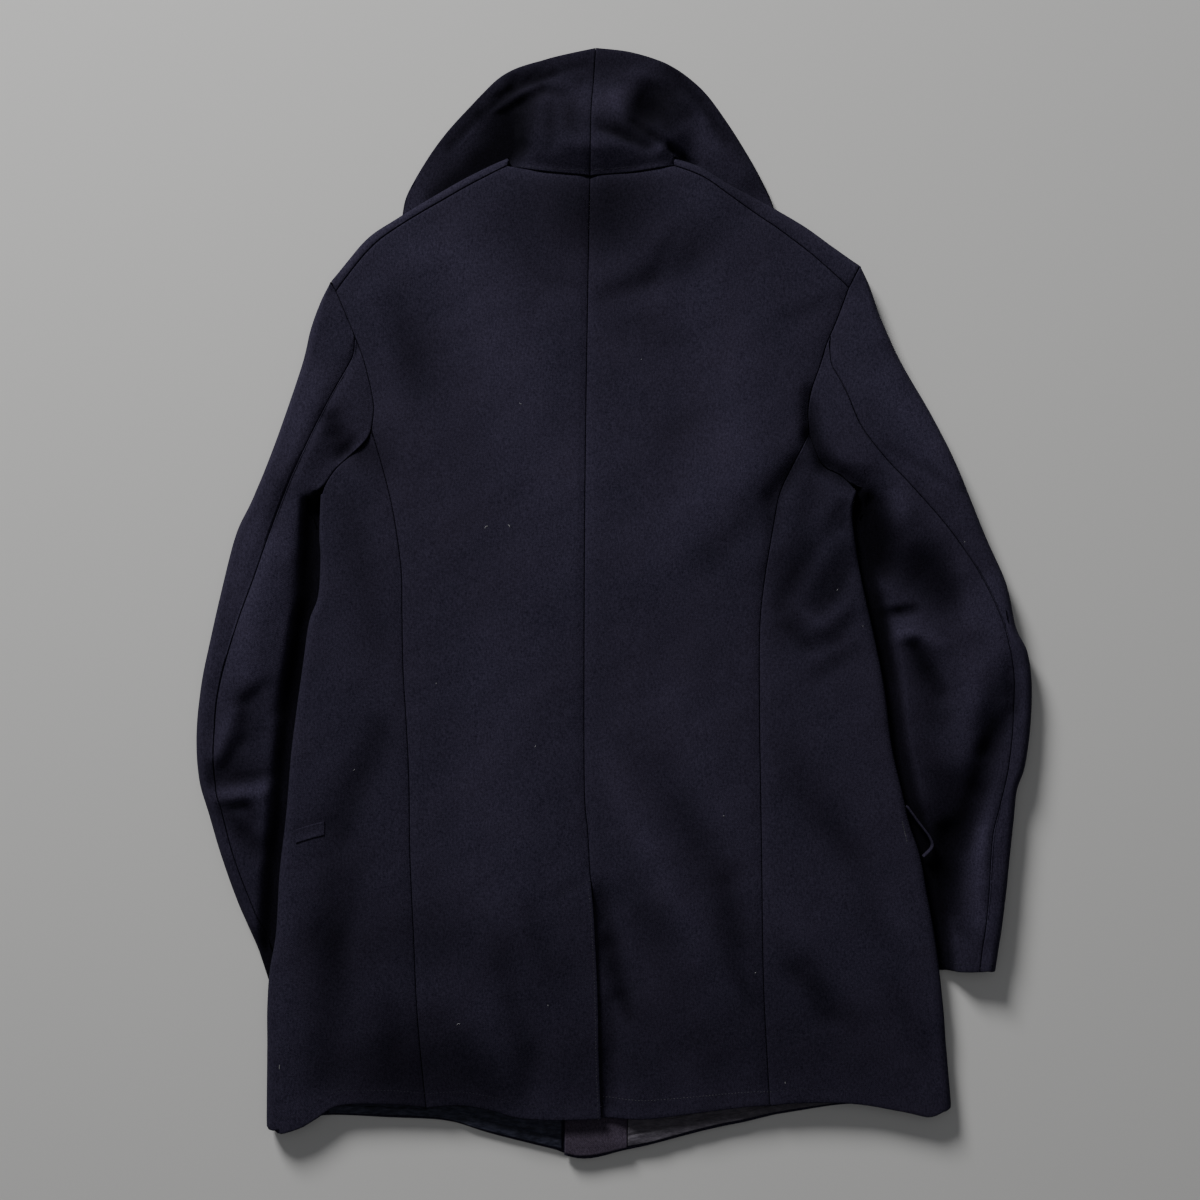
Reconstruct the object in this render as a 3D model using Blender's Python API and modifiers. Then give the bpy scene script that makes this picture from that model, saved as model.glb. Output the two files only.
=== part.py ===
"""Double-breasted pea coat, laid flat with its back up and its collar spread.

+X is the wearer's right, +Y points to the collar and +Z up. All sizes are in millimetres here
and become metres when a mesh is made. The fronts lie on the floor and wrap round the sides to
the side-back seams, the back lies on them, and the sleeves run down under the side edges.
"""
import math

import bmesh
import bpy
from mathutils import Vector

MM = 0.001
WALL = 3.0            # melton, one layer
LINING = 1.0          # lining cloth
CENTRE = (0.15, 2.0)  # middle of the footprint in the pattern's own places, moved to the origin
SEAM_GAP = 0.36       # clear space between two sewn edges
LAYER_GAP = 1.0       # clear space between two cloths that lie on each other

BODY_TOP = 17.0       # height of the back over the floor
BUTTON_R = 17.0       # large coat button, 34 mm across
BUTTON_THICK = 3.4
FRONT_LIFT = 4.2      # the left front lies on its buttons
SLEEVE_FLAT = 7.6     # two cloths of the sleeve where the body lies on it
FOLD_R = 8.0          # how far a side fold rounds in
VENT_DROP = 4.4       # the right back dips under the left one at the vent
UNDERLAP = 42.0       # hidden width of the vent's lower flap
VENT_TOP = -236.0
COLLAR_GAP = 0.8       # clear space between the two leaves of the collar
COLLAR_FLAT = 2 * WALL + COLLAR_GAP   # two leaves of the collar on the floor
COLLAR_RIDGE = 27.0    # highest line of the stand, past the neck seam

# Where the two back panels meet: y and x down the centre back, then down the vent's edge.
CENTRE_SEAM = ((375, -21), (267, -23), (135, -25), (3, -26), (-155, -26), (-200, -23), (-236, -21))
VENT_EDGE = ((-236, -21), (-267, -18), (-301, -16), (-346, -14), (-402, -13), (-452, -11))

# Side-back seams, from the armhole down to the hem: x, y.
LEFT_SIDE_SEAM = ((-213, 153), (-196, 91), (-187, 33), (-186, -9), (-185, -59), (-182, -110),
                  (-180, -155), (-179, -221), (-176, -288), (-172, -370), (-165, -443))
RIGHT_SIDE_SEAM = ((172, 150), (156, 119), (146, 97), (141, 73), (132, 19), (128, -26), (128, -107),
                   (129, -173), (131, -314), (133, -370), (137, -441))

# Armholes on the back, from the shoulder down to the side-back seam, then out to the side.
LEFT_ARMHOLE = ((-244, 274), (-224, 226), (-216, 200), (-211, 173), (-213, 153))
LEFT_UNDERARM = ((-213, 153), (-219, 141), (-244, 118), (-258, 96))
RIGHT_ARMHOLE = ((206, 277), (196, 250), (186, 226), (181, 209), (174, 189), (171, 170), (172, 150))
RIGHT_UNDERARM = ((172, 150), (183, 123), (200, 112), (214, 99))

# Side folds of the body, from the underarm down to the hem: x, y.
LEFT_SIDE = ((-258, 96), (-259, 60), (-258, 41), (-260, 7), (-268, -16), (-273, -51), (-279, -94),
             (-284, -135), (-288, -184), (-294, -238), (-297, -290), (-304, -339), (-306, -448),
             (-305, -462))
RIGHT_SIDE = ((214, 99), (210, 84), (211, 62), (218, 19), (228, -26), (237, -71), (244, -125),
              (253, -165), (260, -195), (269, -222), (275, -255), (281, -288), (286, -324),
              (292, -384), (297, -443))

# Neck and shoulders, from the centre back out: x, y.
LEFT_NECK = ((-21, 375), (-64, 379), (-93.6, 384))
LEFT_SHOULDER = ((-93.6, 384), (-136, 362), (-190, 330), (-216, 309), (-244, 274))
RIGHT_NECK = ((-21, 375), (16, 378), (53, 384))
RIGHT_SHOULDER = ((53, 384), (78, 374), (100, 359), (130, 338), (145, 328), (174, 306), (206, 277))
# The shoulder folds lie a little outside the seams, which the fronts reach round to.
LEFT_TOP_FOLD = ((-93.6, 392), (-136, 371), (-190, 339), (-220, 318), (-249, 283))
RIGHT_TOP_FOLD = ((53, 392), (77, 383), (100, 369), (141, 347), (176, 326), (216, 297))

# Back hems, from the side-back seam to the vent's edge, and the strips outside the seams.
LEFT_HEM = ((-165, -443), (-136, -441), (-105, -446), (-84, -452), (-48, -454), (-11, -453))
RIGHT_HEM = ((-10, -446), (30, -448), (68, -445), (117, -441), (137, -441))
LEFT_SIDE_HEM = ((-165, -443), (-190, -440), (-239, -440), (-261, -452), (-275, -460), (-296, -465),
                 (-305, -462))
RIGHT_SIDE_HEM = ((137, -441), (153, -439), (188, -438), (219, -440), (254, -446), (278, -450),
                  (297, -443))

# Lower edges of the fronts, from the side fold in to the front edge.
LEFT_FRONT_HEM = ((-305, -462), (-285, -459), (-261, -453), (-203, -455), (-152, -458), (-114, -469),
                  (-57, -483), (-40, -486), (20, -476), (84, -458))
RIGHT_FRONT_HEM = ((297, -443), (270, -444), (216, -441), (165, -448), (127, -455), (84, -464),
                   (35, -477), (8, -483), (-15, -489), (-31, -490), (-44, -487))
LEFT_FRONT_EDGE_X = 85.0
RIGHT_FRONT_EDGE_X = -45.0
FRONT_EDGE_TOP = 250.0

# Sleeve edges from the armhole down to the cuff: x, y.
LEFT_SLEEVE_OUT = ((-250.5, 280.5), (-258, 266), (-267, 241), (-275, 207), (-297, 143), (-317, 93),
                   (-332, 61), (-345, 11), (-356, -37), (-363, -73), (-367, -115), (-365, -154),
                   (-358, -179), (-347, -216), (-332, -260), (-319, -292), (-304, -337))
LEFT_SLEEVE_IN = ((-260, 99), (-261.5, 86), (-255, 70), (-250, 40), (-247, 0), (-236, -60), (-215, -160),
                  (-185, -260), (-158, -312))
LEFT_HIND = ((-224, 226), (-246, 185), (-268, 141), (-289, 95), (-314, 24), (-332, -26), (-345, -73),
             (-349, -107), (-350, -151), (-344, -180), (-333, -220), (-319, -260), (-289, -335))
RIGHT_SLEEVE_OUT = ((217.5, 294), (225, 279), (235, 250), (252, 212), (279, 165), (302, 119), (326, 60),
                    (344, 19), (353, -21), (363, -42), (367, -71), (366, -107), (361, -143),
                    (354, -164), (351, -191), (343, -266), (335, -323))
RIGHT_SLEEVE_IN = ((216, 102), (215, 88), (208, 70), (205, 42), (205, 0), (202, -60), (196, -150),
                   (188, -250), (184, -325))
RIGHT_HIND = ((185, 219), (202, 189), (216, 156), (235, 130), (260, 103), (290, 69), (317, 31),
              (335, -5), (343, -28), (350, -62), (350, -98), (345, -143), (337, -178), (330, -208),
              (326, -266), (320, -323))

# Outer edge of the spread collar, from the left shoulder over the top to the right one.
COLLAR_EDGE_LEFT = ((-196, 322), (-188, 340), (-182, 363), (-158, 403), (-130, 436), (-98, 466),
                    (-60, 481), (-16, 491))
COLLAR_EDGE_RIGHT = ((-16, 491), (16, 487), (48, 476), (77, 455), (100, 425), (121, 391), (136, 363),
                     (142, 347), (148, 328))
COLLAR_CENTRE = ((-21, 375), (-20, 433), (-18, 460), (-16, 491))

# Soft folds: start x, y, end x, y, half width, height (a trough is below nought).
BODY_FOLDS = (
    (66, 295, -6, 266, 16, -1.6),
    (45, -146, 124, -312, 20, -2.6),
    (157, -139, 230, -250, 17, -2.6),
    (153, -305, 189, -362, 13, -2.2),
    (169, -318, 210, -370, 12, -2.0),
    (243, -332, 275, -398, 12, -2.2),
    (-12, -285, 16, -364, 15, -2.4),
    (29, -271, 71, -308, 13, -1.6),
    (84, -248, 127, -356, 14, -1.8),
    (-208, -120, -258, -218, 18, -2.4),
    (-216, -218, -245, -312, 13, -2.0),
    (-246, -295, -236, -361, 13, -2.0),
    (-194, -360, -194, -416, 11, -1.6),
    (-148, -369, -106, -425, 15, -1.8),
    (205, 70, 150, -30, 16, -2.4),
    (178, 120, 140, 20, 14, -2.0),
    (-235, 90, -205, -40, 17, -2.0),
    (60, -100, 100, -260, 30, 2.0),
    (-100, -60, -110, -330, 36, 2.0),
    (-120, 290, -70, 120, 36, 1.8),
    (90, 250, 120, 60, 34, 1.8),
)
SLEEVE_FOLDS = (
    (-266, 84, -274, -10, 7, -8.0),
    (-276, -40, -290, -95, 8, -6.0),
    (228, 84, 232, 30, 12, -9.0),
    (232, 2, 240, -60, 8, -6.0),
    (268, -190, 278, -240, 12, -7.0),
    (-304, -74, -323, -88, 12, -5.0),
    (-323, -88, -321, -114, 12, -5.0),
    (-321, -114, -330, -139, 12, -4.5),
    (-330, -139, -346, -156, 11, -4.0),
    (-348, -150, -307, -151, 11, -4.5),
    (-340, -180, -307, -218, 13, -4.5),
    (-302, -158, -300, -200, 12, 3.0),
    (-300, 40, -318, -60, 22, 4.0),
    (-285, 120, -262, 190, 16, 2.5),
    (243, 40, 300, 0, 26, -8.0),
    (300, 10, 262, 62, 20, -5.0),
    (239, -33, 270, -30, 13, 3.5),
    (263, -37, 283, -99, 14, -4.0),
    (345, -57, 329, -107, 13, -4.0),
    (329, -107, 318, -155, 14, -5.0),
    (318, -155, 305, -200, 15, -5.5),
    (295, -160, 290, -270, 16, -6.0),
    (325, -150, 322, -280, 12, 3.0),
    (330, 10, 345, -60, 14, 3.0),
    (240, 190, 290, 110, 18, 3.0),
)
COLLAR_FOLDS = (
    (-145, 404, -119, 433, 6, -1.8),
    (-119, 433, -87, 460, 6, -1.8),
    (-87, 460, -55, 470, 6, -1.8),
    (-140, 412, -100, 450, 7, 2.0),
    (-88, 432, -98, 400, 20, -9.0),
    (-98, 400, -150, 366, 18, -5.0),
    (22, 420, 48, 452, 18, -7.0),
    (30, 402, 66, 430, 9, -2.5),
    (-11, 419, 32, 402, 7, -2.5),
    (32, 408, 52, 392, 8, 3.0),
    (70, 420, 110, 380, 15, 3.5),
    (-54, 436, -54, 402, 6, -2.0),
)


# ---------------------------------------------------------------- curves and heights

def smooth(points, count):
    """Points evenly spaced along a soft curve through the given ones."""
    steps = 12
    dense = []
    for k in range(len(points) - 1):
        a = Vector(points[max(k - 1, 0)])
        b = Vector(points[k])
        c = Vector(points[k + 1])
        d = Vector(points[min(k + 2, len(points) - 1)])
        for i in range(steps):
            t = i / steps
            tangent_b = (c - a) * 0.5
            tangent_c = (d - b) * 0.5
            dense.append(b * (2 * t**3 - 3 * t**2 + 1) + tangent_b * (t**3 - 2 * t**2 + t)
                         + c * (3 * t**2 - 2 * t**3) + tangent_c * (t**3 - t**2))
    dense.append(Vector(points[-1]))
    lengths = [0.0]
    for p, q in zip(dense, dense[1:]):
        lengths.append(lengths[-1] + (q - p).length)
    out = []
    k = 0
    for i in range(count + 1):
        want = lengths[-1] * i / count
        while k < len(dense) - 2 and lengths[k + 1] < want:
            k += 1
        t = (want - lengths[k]) / max(lengths[k + 1] - lengths[k], 1e-9)
        out.append(dense[k].lerp(dense[k + 1], min(max(t, 0.0), 1.0)))
    return out


def chain(*curves):
    """Curves end to end, without the doubled points."""
    out = list(curves[0])
    for curve in curves[1:]:
        out += curve[1:]
    return out


def swap(points):
    """A table of y, x as points x, y."""
    return tuple((x, y) for y, x in points)


def coons(bottom, top, left, right, pulls=None):
    """Rows of points that fill four edges; bottom and top run from left to right.

    The pulls say how much each row takes of the top edge's curve: evenly more, if not given.
    """
    rows = []
    across = len(bottom) - 1
    up = len(left) - 1
    for j in range(up + 1):
        v = pulls[j] if pulls else j / up
        row = []
        for i in range(across + 1):
            u = i / across
            low = bottom[i] - bottom[0].lerp(bottom[-1], u)
            high = top[i] - top[0].lerp(top[-1], u)
            row.append(left[j].lerp(right[j], u) + low.lerp(high, v))
        rows.append(row)
    return rows


def ease(t):
    t = min(max(t, 0.0), 1.0)
    return t * t * (3 - 2 * t)


def fold_height(table, x, y):
    """Sum of the soft ridges and troughs at one place."""
    total = 0.0
    for x0, y0, x1, y1, half, height in table:
        along = Vector((x1 - x0, y1 - y0))
        place = Vector((x - x0, y - y0))
        t = min(max(place.dot(along) / along.length_squared, 0.0), 1.0)
        away = (place - along * t).length
        if away < 3 * half:
            total += height * math.exp(-(away / half) ** 2) * (1 - 0.35 * abs(2 * t - 1))
    return total


def x_at(points, y):
    """x of a line through points that run down in y."""
    if y >= points[0][1]:
        return points[0][0]
    for (x0, y0), (x1, y1) in zip(points, points[1:]):
        if y >= y1:
            return x0 + (x1 - x0) * (y0 - y) / max(y0 - y1, 1e-9)
    return points[-1][0]


def inside_sleeve(x, y):
    """How far a place lies outward of the nearer sleeve's hidden inner edge."""
    left = x_at(LEFT_SLEEVE_IN, y) - x
    right = x - x_at(RIGHT_SLEEVE_IN, y)
    return max(left, right)


def sleeve_lift(x, y):
    """Height that a front has to rise over the sleeve under it."""
    ramp = ease((inside_sleeve(x, y) + 48) / 36)
    below_armpit = ease((104 - y) / 24)
    past_cuff = ease((y + 392) / 34)
    return (SLEEVE_FLAT + LAYER_GAP) * ramp * below_armpit * past_cuff


def collar_lift(x, y):
    """Height that a front has to rise over the collar's hidden ends."""
    left = ease((x + 232) / 26) * ease((-70 - x) / 40)
    right = ease((186 - x) / 26) * ease((x - 30) / 40)
    line = 388 - 0.6 * (abs(x + 20) - 75)
    return (COLLAR_FLAT + LAYER_GAP) * max(left, right) * ease((y - line + 78) / 34)


def button_lift(x, y):
    """Height of the left front over its buttons."""
    across = ease((x + 128) / 30) * ease((118 - x) / 30)
    return FRONT_LIFT * across * ease((y + 236) / 30) * ease((290 - y) / 40)


def under_lift(x, y):
    """Height of the right front over the left one, a little wider than its raised field."""
    across = ease((LEFT_FRONT_EDGE_X + 60 - x) / 34)
    raised = FRONT_LIFT * ease((y + 266) / 30) + WALL + LAYER_GAP + 0.3
    return raised * across * ease((345 - y) / 30)


def front_floor(x, y):
    """Underside of the left front and of the right front outside their overlap."""
    return max(sleeve_lift(x, y), collar_lift(x, y), button_lift(x, y))


def right_front_floor(x, y):
    """Underside of the right front, which lies on the left one near its edge."""
    return max(sleeve_lift(x, y), collar_lift(x, y), under_lift(x, y))


def body_top(x, y):
    """Top of the coat's body."""
    middle = 1.2 * ease((150 - abs(x + 20)) / 120)
    side = 1.0 * ease((abs(x) - 170) / 60)
    return BODY_TOP + middle + side + fold_height(BODY_FOLDS, x, y)


def vent_x(y):
    return x_at(swap(VENT_EDGE), y)


def right_back_top(x, y):
    """Top of the right back, which dips under the left one at the vent."""
    beside = ease((34 - (x - vent_x(y))) / 30)
    return body_top(x, y) - VENT_DROP * beside * ease((VENT_TOP + 4 - y) / 36)


# ---------------------------------------------------------------- meshes

def material(name, colour, roughness):
    mat = bpy.data.materials.new(name)
    mat.use_nodes = True
    shader = mat.node_tree.nodes["Principled BSDF"]
    shader.inputs["Base Color"].default_value = (*colour, 1.0)
    shader.inputs["Roughness"].default_value = roughness
    shader.inputs["Metallic"].default_value = 0.0
    return mat


def shell(name, cells, mat, collection):
    """One cloth: outer and inner points by grid place, closed along every free edge."""
    middle = Vector((*CENTRE, 0))
    bm = bmesh.new()
    outer = {}
    inner = {}
    for place, (out_point, in_point) in cells.items():
        outer[place] = bm.verts.new((Vector(out_point) - middle) * MM)
        inner[place] = bm.verts.new((Vector(in_point) - middle) * MM)
    rims = {}
    for i, j in cells:
        ring = ((i, j), (i + 1, j), (i + 1, j + 1), (i, j + 1))
        if not all(corner in cells for corner in ring):
            continue
        for three in ((0, 1, 2), (0, 2, 3)):
            bm.faces.new([outer[ring[n]] for n in three])
            bm.faces.new([inner[ring[n]] for n in reversed(three)])
        for a, b in zip(ring, ring[1:] + ring[:1]):
            if (b, a) in rims:
                del rims[(b, a)]
            else:
                rims[(a, b)] = True
    for a, b in rims:
        bm.faces.new((outer[b], outer[a], inner[a], inner[b]))
    loose = [v for v in bm.verts if not v.link_faces]
    bmesh.ops.delete(bm, geom=loose, context="VERTS")
    bmesh.ops.recalc_face_normals(bm, faces=list(bm.faces))
    mesh = bpy.data.meshes.new(name)
    bm.to_mesh(mesh)
    bm.free()
    mesh.materials.append(mat)
    thing = bpy.data.objects.new(name, mesh)
    collection.objects.link(thing)
    return thing


def inset(rows, gap):
    """Rows with their outer loop moved in by half a seam gap."""
    up = len(rows) - 1
    across = len(rows[0]) - 1
    loop = [(0, i) for i in range(across)] + [(j, across) for j in range(up)]
    loop += [(up, i) for i in range(across, 0, -1)] + [(j, 0) for j in range(up, 0, -1)]
    area = 0.0
    for (ja, ia), (jb, ib) in zip(loop, loop[1:] + loop[:1]):
        p = rows[ja][ia]
        q = rows[jb][ib]
        area += p.x * q.y - q.x * p.y
    turn = 1.0 if area > 0 else -1.0
    moved = [list(row) for row in rows]
    for k, (j, i) in enumerate(loop):
        before = rows[loop[k - 1][0]][loop[k - 1][1]]
        after = rows[loop[(k + 1) % len(loop)][0]][loop[(k + 1) % len(loop)][1]]
        here = rows[j][i]
        e1 = (here - before).normalized()
        e2 = (after - here).normalized()
        n1 = Vector((-e1.y, e1.x)) * turn
        n2 = Vector((-e2.y, e2.x)) * turn
        mitre = n1 + n2
        if mitre.length < 0.2:
            mitre = n1
        mitre = mitre / max(mitre.dot(n1), 0.35)
        moved[j][i] = here + mitre * gap * 0.5
    return moved


def inward(points, towards):
    """Unit normals of a line, on the side of the given place."""
    out = []
    for k, point in enumerate(points):
        a = points[max(k - 1, 0)]
        b = points[min(k + 1, len(points) - 1)]
        normal = Vector((a.y - b.y, b.x - a.x)).normalized()
        if normal.dot(Vector(towards) - point) < 0:
            normal = -normal
        out.append(normal)
    return out


def pair_top(p, height, wall=WALL):
    """Outer and inner point of a cloth whose outside looks up."""
    return (p.x, p.y, height), (p.x, p.y, height - wall)


def pair_floor(p, height, wall=WALL):
    """Outer and inner point of a cloth whose outside looks down."""
    return (p.x, p.y, height), (p.x, p.y, height + wall)


FOLD_ANGLES = (58.0, 20.0, -20.0, -58.0)
SIDE_TAPER = (5.0, 2.0)         # the side fold narrows to the armpit
SLEEVE_TAPER = (6.0, 4.0, 2.0)  # so do the sleeve's folds, to the armpit and to the shoulder
SHOULDER_TAPER = (2.0,)


def radii(count, taper):
    """Fold radius at each row, narrowing over the last ones."""
    return [FOLD_R] * (count + 1 - len(taper)) + list(taper)


def fold_pairs(edge, normal, top, floor, radius):
    """Points round a fold, from the upper cloth to the lower one."""
    middle = (top + floor) / 2
    half = (top - floor) / 2
    pairs = []
    for degrees in FOLD_ANGLES:
        c = math.cos(math.radians(degrees))
        s = math.sin(math.radians(degrees))
        p = edge + normal * radius * (1 - c)
        q = edge + normal * (WALL + (radius - WALL) * (1 - c))
        pairs.append(((p.x, p.y, middle + half * s), (q.x, q.y, middle + (half - WALL) * s)))
    return pairs


# ---------------------------------------------------------------- shared seams

BODY_ROWS = 16
VENT_ROWS = 6
ARM_ROWS = 6
UNDERARM_STEPS = 4
SHOULDER_STEPS = 6
NECK_STEPS = 4
SLEEVE_ROWS = 18
SLEEVE_PICKS = tuple(range(0, 46, 3)) + (46, 47, 48)   # closer rows next to the armhole, of 48
ARMPIT_FAN = 1.6
SLEEVE_PULLS = (0.0,) * 16 + (0.33, 0.67, 1.0)
HIND_STEP = 2         # the hindarm seam meets the armhole this many steps from the shoulder

LEFT_FRONT_ARMHOLE = ((-250, 98), (-222, 122), (-208, 165), (-214, 215), (-240, 268))
RIGHT_FRONT_ARMHOLE = ((206, 101), (182, 126), (170, 170), (178, 225), (208, 284))
FRONT_ARM_ROWS = 6
LEFT_OUTLINE = LEFT_ARMHOLE + LEFT_UNDERARM[1:] + LEFT_SIDE[1:]
RIGHT_OUTLINE = RIGHT_ARMHOLE + RIGHT_UNDERARM[1:] + RIGHT_SIDE[1:]


def half_lines(left):
    """The curves that the pieces of one half share."""
    return {
        "seam": smooth(LEFT_SIDE_SEAM if left else RIGHT_SIDE_SEAM, BODY_ROWS)[::-1],
        "armhole": smooth(LEFT_ARMHOLE if left else RIGHT_ARMHOLE, ARM_ROWS)[::-1],
        "underarm": smooth(LEFT_UNDERARM if left else RIGHT_UNDERARM, UNDERARM_STEPS),
        "side": smooth(LEFT_SIDE if left else RIGHT_SIDE, BODY_ROWS)[::-1],
        "shoulder": smooth(LEFT_SHOULDER if left else RIGHT_SHOULDER, SHOULDER_STEPS),
        "top_fold": smooth(LEFT_TOP_FOLD if left else RIGHT_TOP_FOLD, SHOULDER_STEPS),
        "neck": smooth(LEFT_NECK if left else RIGHT_NECK, NECK_STEPS),
    }


def outward(x, y):
    """How far a place lies outside the armholes and side folds."""
    return max(x_at(LEFT_OUTLINE, y) - x, x - x_at(RIGHT_OUTLINE, y))


def off_line(points, p):
    """Distance from a place to a line."""
    best = 1e9
    for a, b in zip(points, points[1:]):
        along = b - a
        t = min(max((p - a).dot(along) / along.length_squared, 0.0), 1.0)
        best = min(best, (p - a - along * t).length)
    return best


def round_off(p, top, floor, fold):
    """Height of the upper cloth where it rounds down to a fold."""
    t = 1 - min(off_line(fold, p) / FOLD_R, 1.0)
    return floor + (top - floor) * (0.5 + 0.5 * math.sqrt(max(1 - t * t, 0.0)))


def sleeve_top(x, y):
    """Top of a sleeve: puffed beside the body, flat under it."""
    out = outward(x, y)
    puff = body_top(x, y) + 5.0 * ease((out - 8) / 40) + fold_height(SLEEVE_FOLDS, x, y)
    beside = max(ease((out - 4) / 34), ease((y - 78) / 18))
    return max(SLEEVE_FLAT + (puff - SLEEVE_FLAT) * beside, SLEEVE_FLAT)


# ---------------------------------------------------------------- pieces

def back(left, lines, mat, collection):
    """A back panel from hem to neck, between the centre seam and the side-back seam."""
    vent = smooth(swap(VENT_EDGE), VENT_ROWS)[::-1]
    seam_rows = BODY_ROWS + ARM_ROWS - VENT_ROWS
    centre = chain(vent, smooth(swap(CENTRE_SEAM), seam_rows)[::-1])
    outside = chain(lines["seam"], lines["armhole"])
    across = SHOULDER_STEPS + NECK_STEPS
    top = chain(lines["neck"], lines["shoulder"])
    hem = smooth(LEFT_HEM[::-1] if left else RIGHT_HEM, across)
    hem[0] = centre[0].copy()
    hem[-1] = outside[0].copy()
    rows = inset(coons(hem, top, centre, outside), SEAM_GAP)
    cells = {}
    for j, row in enumerate(rows):
        for i, p in enumerate(row):
            height = body_top(p.x, p.y) if left else right_back_top(p.x, p.y)
            height = round_off(p, height, front_floor(p.x, p.y), lines["top_fold"])
            cells[(i, j)] = pair_top(p, height)
    if not left:
        for j in range(VENT_ROWS - 1):
            for k in (1, 2, 3):
                p = rows[j][0] - Vector((UNDERLAP * k / 3, 0))
                cells[(-k, j)] = pair_top(p, right_back_top(p.x, p.y))
    return shell("back_left" if left else "back_right", cells, mat, collection)


def front(left, lines, mat, collection):
    """A front: flat under the back, round the side fold to the side-back seam, and over the
    shoulder fold to the shoulder seam."""
    floor = front_floor if left else right_front_floor
    side = lines["side"]
    centre = (-20, 0)
    normals = inward(side, centre)
    side_radii = radii(BODY_ROWS, SIDE_TAPER)
    side_in = [p + n * r for p, n, r in zip(side, normals, side_radii)]
    armhole = smooth(LEFT_FRONT_ARMHOLE if left else RIGHT_FRONT_ARMHOLE, FRONT_ARM_ROWS)
    fold = lines["top_fold"]
    fold_normals = inward(fold, centre)
    fold_radii = radii(SHOULDER_STEPS, SHOULDER_TAPER)
    fold_in = [p + n * r for p, n, r in zip(fold, fold_normals, fold_radii)]
    armhole[0] = side_in[-1].copy()
    armhole[-1] = fold_in[-1].copy()
    edge_x = LEFT_FRONT_EDGE_X if left else RIGHT_FRONT_EDGE_X
    hem = smooth((LEFT_FRONT_HEM if left else RIGHT_FRONT_HEM)[::-1], SHOULDER_STEPS + 2)
    hem[-1] = side_in[0].copy()
    edge_top = Vector((edge_x, FRONT_EDGE_TOP))
    neckline = [edge_top.lerp(fold_in[0], t / 2) for t in range(3)]
    top = chain(neckline, fold_in)
    rows_up = BODY_ROWS + FRONT_ARM_ROWS
    edge = [hem[0].lerp(edge_top, t / rows_up) for t in range(rows_up + 1)]
    lower = coons(hem, top, edge, chain(side_in, armhole))
    lower = inset(lower, SEAM_GAP)
    last = len(hem) - 1
    cells = {}
    for j, row in enumerate(lower):
        for i, p in enumerate(row):
            cells[(i, j)] = pair_floor(p, floor(p.x, p.y))
    # round the side fold, then over the coat to the side-back seam
    steps = UNDERARM_STEPS
    strip_hem = smooth(LEFT_SIDE_HEM if left else RIGHT_SIDE_HEM, steps)
    strip_hem[-1] = side_in[0].copy()
    strip_top = smooth(LEFT_UNDERARM if left else RIGHT_UNDERARM, UNDERARM_STEPS)
    strip_top[-1] = side_in[-1].copy()
    upper = inset(coons(strip_hem, strip_top, lines["seam"], side_in), SEAM_GAP)
    for j in range(BODY_ROWS + 1):
        place = side_in[j]
        top_height = body_top(place.x, place.y)
        arc = fold_pairs(side[j], normals[j], top_height, floor(place.x, place.y), side_radii[j])
        for k, pair in enumerate(reversed(arc)):
            cells[(last + 1 + k, j)] = pair
        for k, p in enumerate(reversed(upper[j])):
            cells[(last + 5 + k, j)] = pair_top(p, body_top(p.x, p.y))
    # round the shoulder fold to the shoulder seam
    seam = lines["shoulder"]
    for k in range(SHOULDER_STEPS + 1):
        i = k + 2
        place = fold_in[k]
        top_height = body_top(place.x, place.y)
        low = floor(place.x, place.y)
        arc = fold_pairs(fold[k], fold_normals[k], top_height, low, fold_radii[k])
        for n, pair in enumerate(reversed(arc[1:])):
            cells[(i, rows_up + 1 + n)] = pair
        away = (fold[k] - seam[k]).normalized()
        p = seam[k] + away * SEAM_GAP * 0.5
        if k == SHOULDER_STEPS:
            p = p + (seam[k - 1] - seam[k]).normalized() * SEAM_GAP * 0.5
        height = round_off(p, body_top(p.x, p.y), front_floor(p.x, p.y), fold)
        cells[(i, rows_up + 4)] = pair_top(p, height)
    return shell("front_left" if left else "front_right", cells, mat, collection)


def sleeve_line(points, power=1.0):
    """A line along the sleeve from the cuff up, at the sleeve's rows.

    A power over one crowds its rows near the armpit, so that the rows fan out there.
    """
    last = SLEEVE_PICKS[-1]
    fine = smooth(points, last * 10)
    return [fine[round(last * 10 * (1 - k / last) ** power)] for k in SLEEVE_PICKS]


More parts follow.
